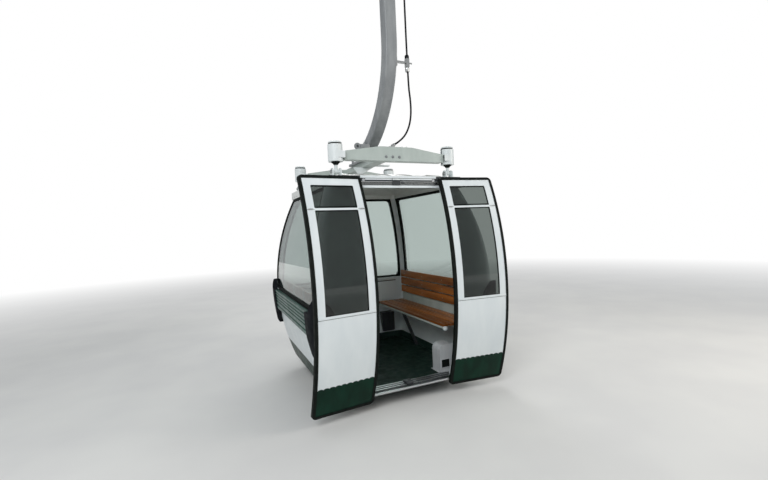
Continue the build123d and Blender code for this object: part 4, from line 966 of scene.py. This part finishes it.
# Rollers: galvanised hub discs with a turned step
disc_rings = (
    (0.05, 0), (0.05, 0.0012), (0.046, 0.0024), (0.032, 0.0024), (0.03, 0.0036), (0.026, 0.0036)
)
for name, across, body in (("front", 0.215, "front_wheel"), ("rear", -0.215, "rear_wheel")):
    turned(
        f"roller_disc_{name}", (across, 0.1728, 0.095), (0, 1, 0), disc_rings, galvanised, body
    )

# Floor: matt pale paint with faint blotches, faded into the white background far away
bpy.ops.object.select_all(action="DESELECT")
bpy.ops.mesh.primitive_circle_add(
    vertices=96, radius=40, fill_type="NGON", location=(0, 0, level(STUDIO_FLOOR))
)
floor = bpy.context.object
floor.name = "studio_floor"
bpy.ops.object.transform_apply(location=True, rotation=True, scale=True)
floor_paint, tree, place, surface = material("matt_floor_paint", Roughness=0.85)
blotches = between(tree, noise(tree, place, 900), "#dfdfdc", "#d9d9d7")
tree.links.new(blotches, surface.inputs["Base Color"])
relief(tree, surface, noise(tree, place, 15), 0.2, 0.4)
flat = add(tree, "VectorMath", {0: place, 1: (1, 1, 0)}, operation="MULTIPLY")
far = add(tree, "VectorMath", {0: flat.outputs["Vector"]}, operation="LENGTH")
fade = add(tree, "MapRange", {"Value": far.outputs["Value"], "From Min": 5.0, "From Max": 16.0})
white = add(tree, "Emission", {"Color": (1, 1, 1, 1), "Strength": 1.0})
blend = add(
    tree,
    "MixShader",
    {0: fade.outputs["Result"], 1: surface.outputs["BSDF"], 2: white.outputs["Emission"]},
)
tree.links.new(blend.outputs["Shader"], tree.nodes["Material Output"].inputs["Surface"])
floor.data.materials.append(floor_paint)

# World: even studio light, white behind the object and through its panes
world = bpy.data.worlds.new("studio")
world.use_nodes = True
bpy.context.scene.world = world
tree = world.node_tree
tree.nodes.clear()
ray_kind = add(tree, "LightPath")
seen = add(
    tree,
    "Math",
    {0: ray_kind.outputs["Is Camera Ray"], 1: ray_kind.outputs["Is Transmission Ray"]},
    operation="MAXIMUM",
)
even = add(tree, "Background", {"Color": linear("#eef1f4"), "Strength": 0.54})
white = add(tree, "Background", {"Color": (1, 1, 1, 1), "Strength": 1.0})
sky = add(
    tree,
    "MixShader",
    {0: seen.outputs["Value"], 1: even.outputs["Background"], 2: white.outputs["Background"]},
)
add(tree, "OutputWorld", {"Surface": sky.outputs["Shader"]})


def lamp(name, place, target, size, watts, colour="#ffffff"):
    """A soft square lamp that points at a place."""
    light = bpy.data.lights.new(name, "AREA")
    light.size = size
    light.energy = watts
    light.color = linear(colour)[:3]
    made = bpy.data.objects.new(name, light)
    made.location = place
    made.rotation_euler = (Vector(target) - Vector(place)).to_track_quat("-Z", "Y").to_euler()
    bpy.context.scene.collection.objects.link(made)


lamp("key_lamp", (-4.5, -5.5, 1.0), (0, -0.5, -3.2), 3.5, 285, "#fbfdff")
lamp("fill_lamp", (5.5, -4.0, -1.0), (0, 0, -3.2), 3.0, 145, "#fff8f0")
lamp("back_lamp", (2.0, 6.0, 0.5), (0, 0, -3.0), 4.0, 155)

bpy.context.scene.view_settings.view_transform = "Standard"
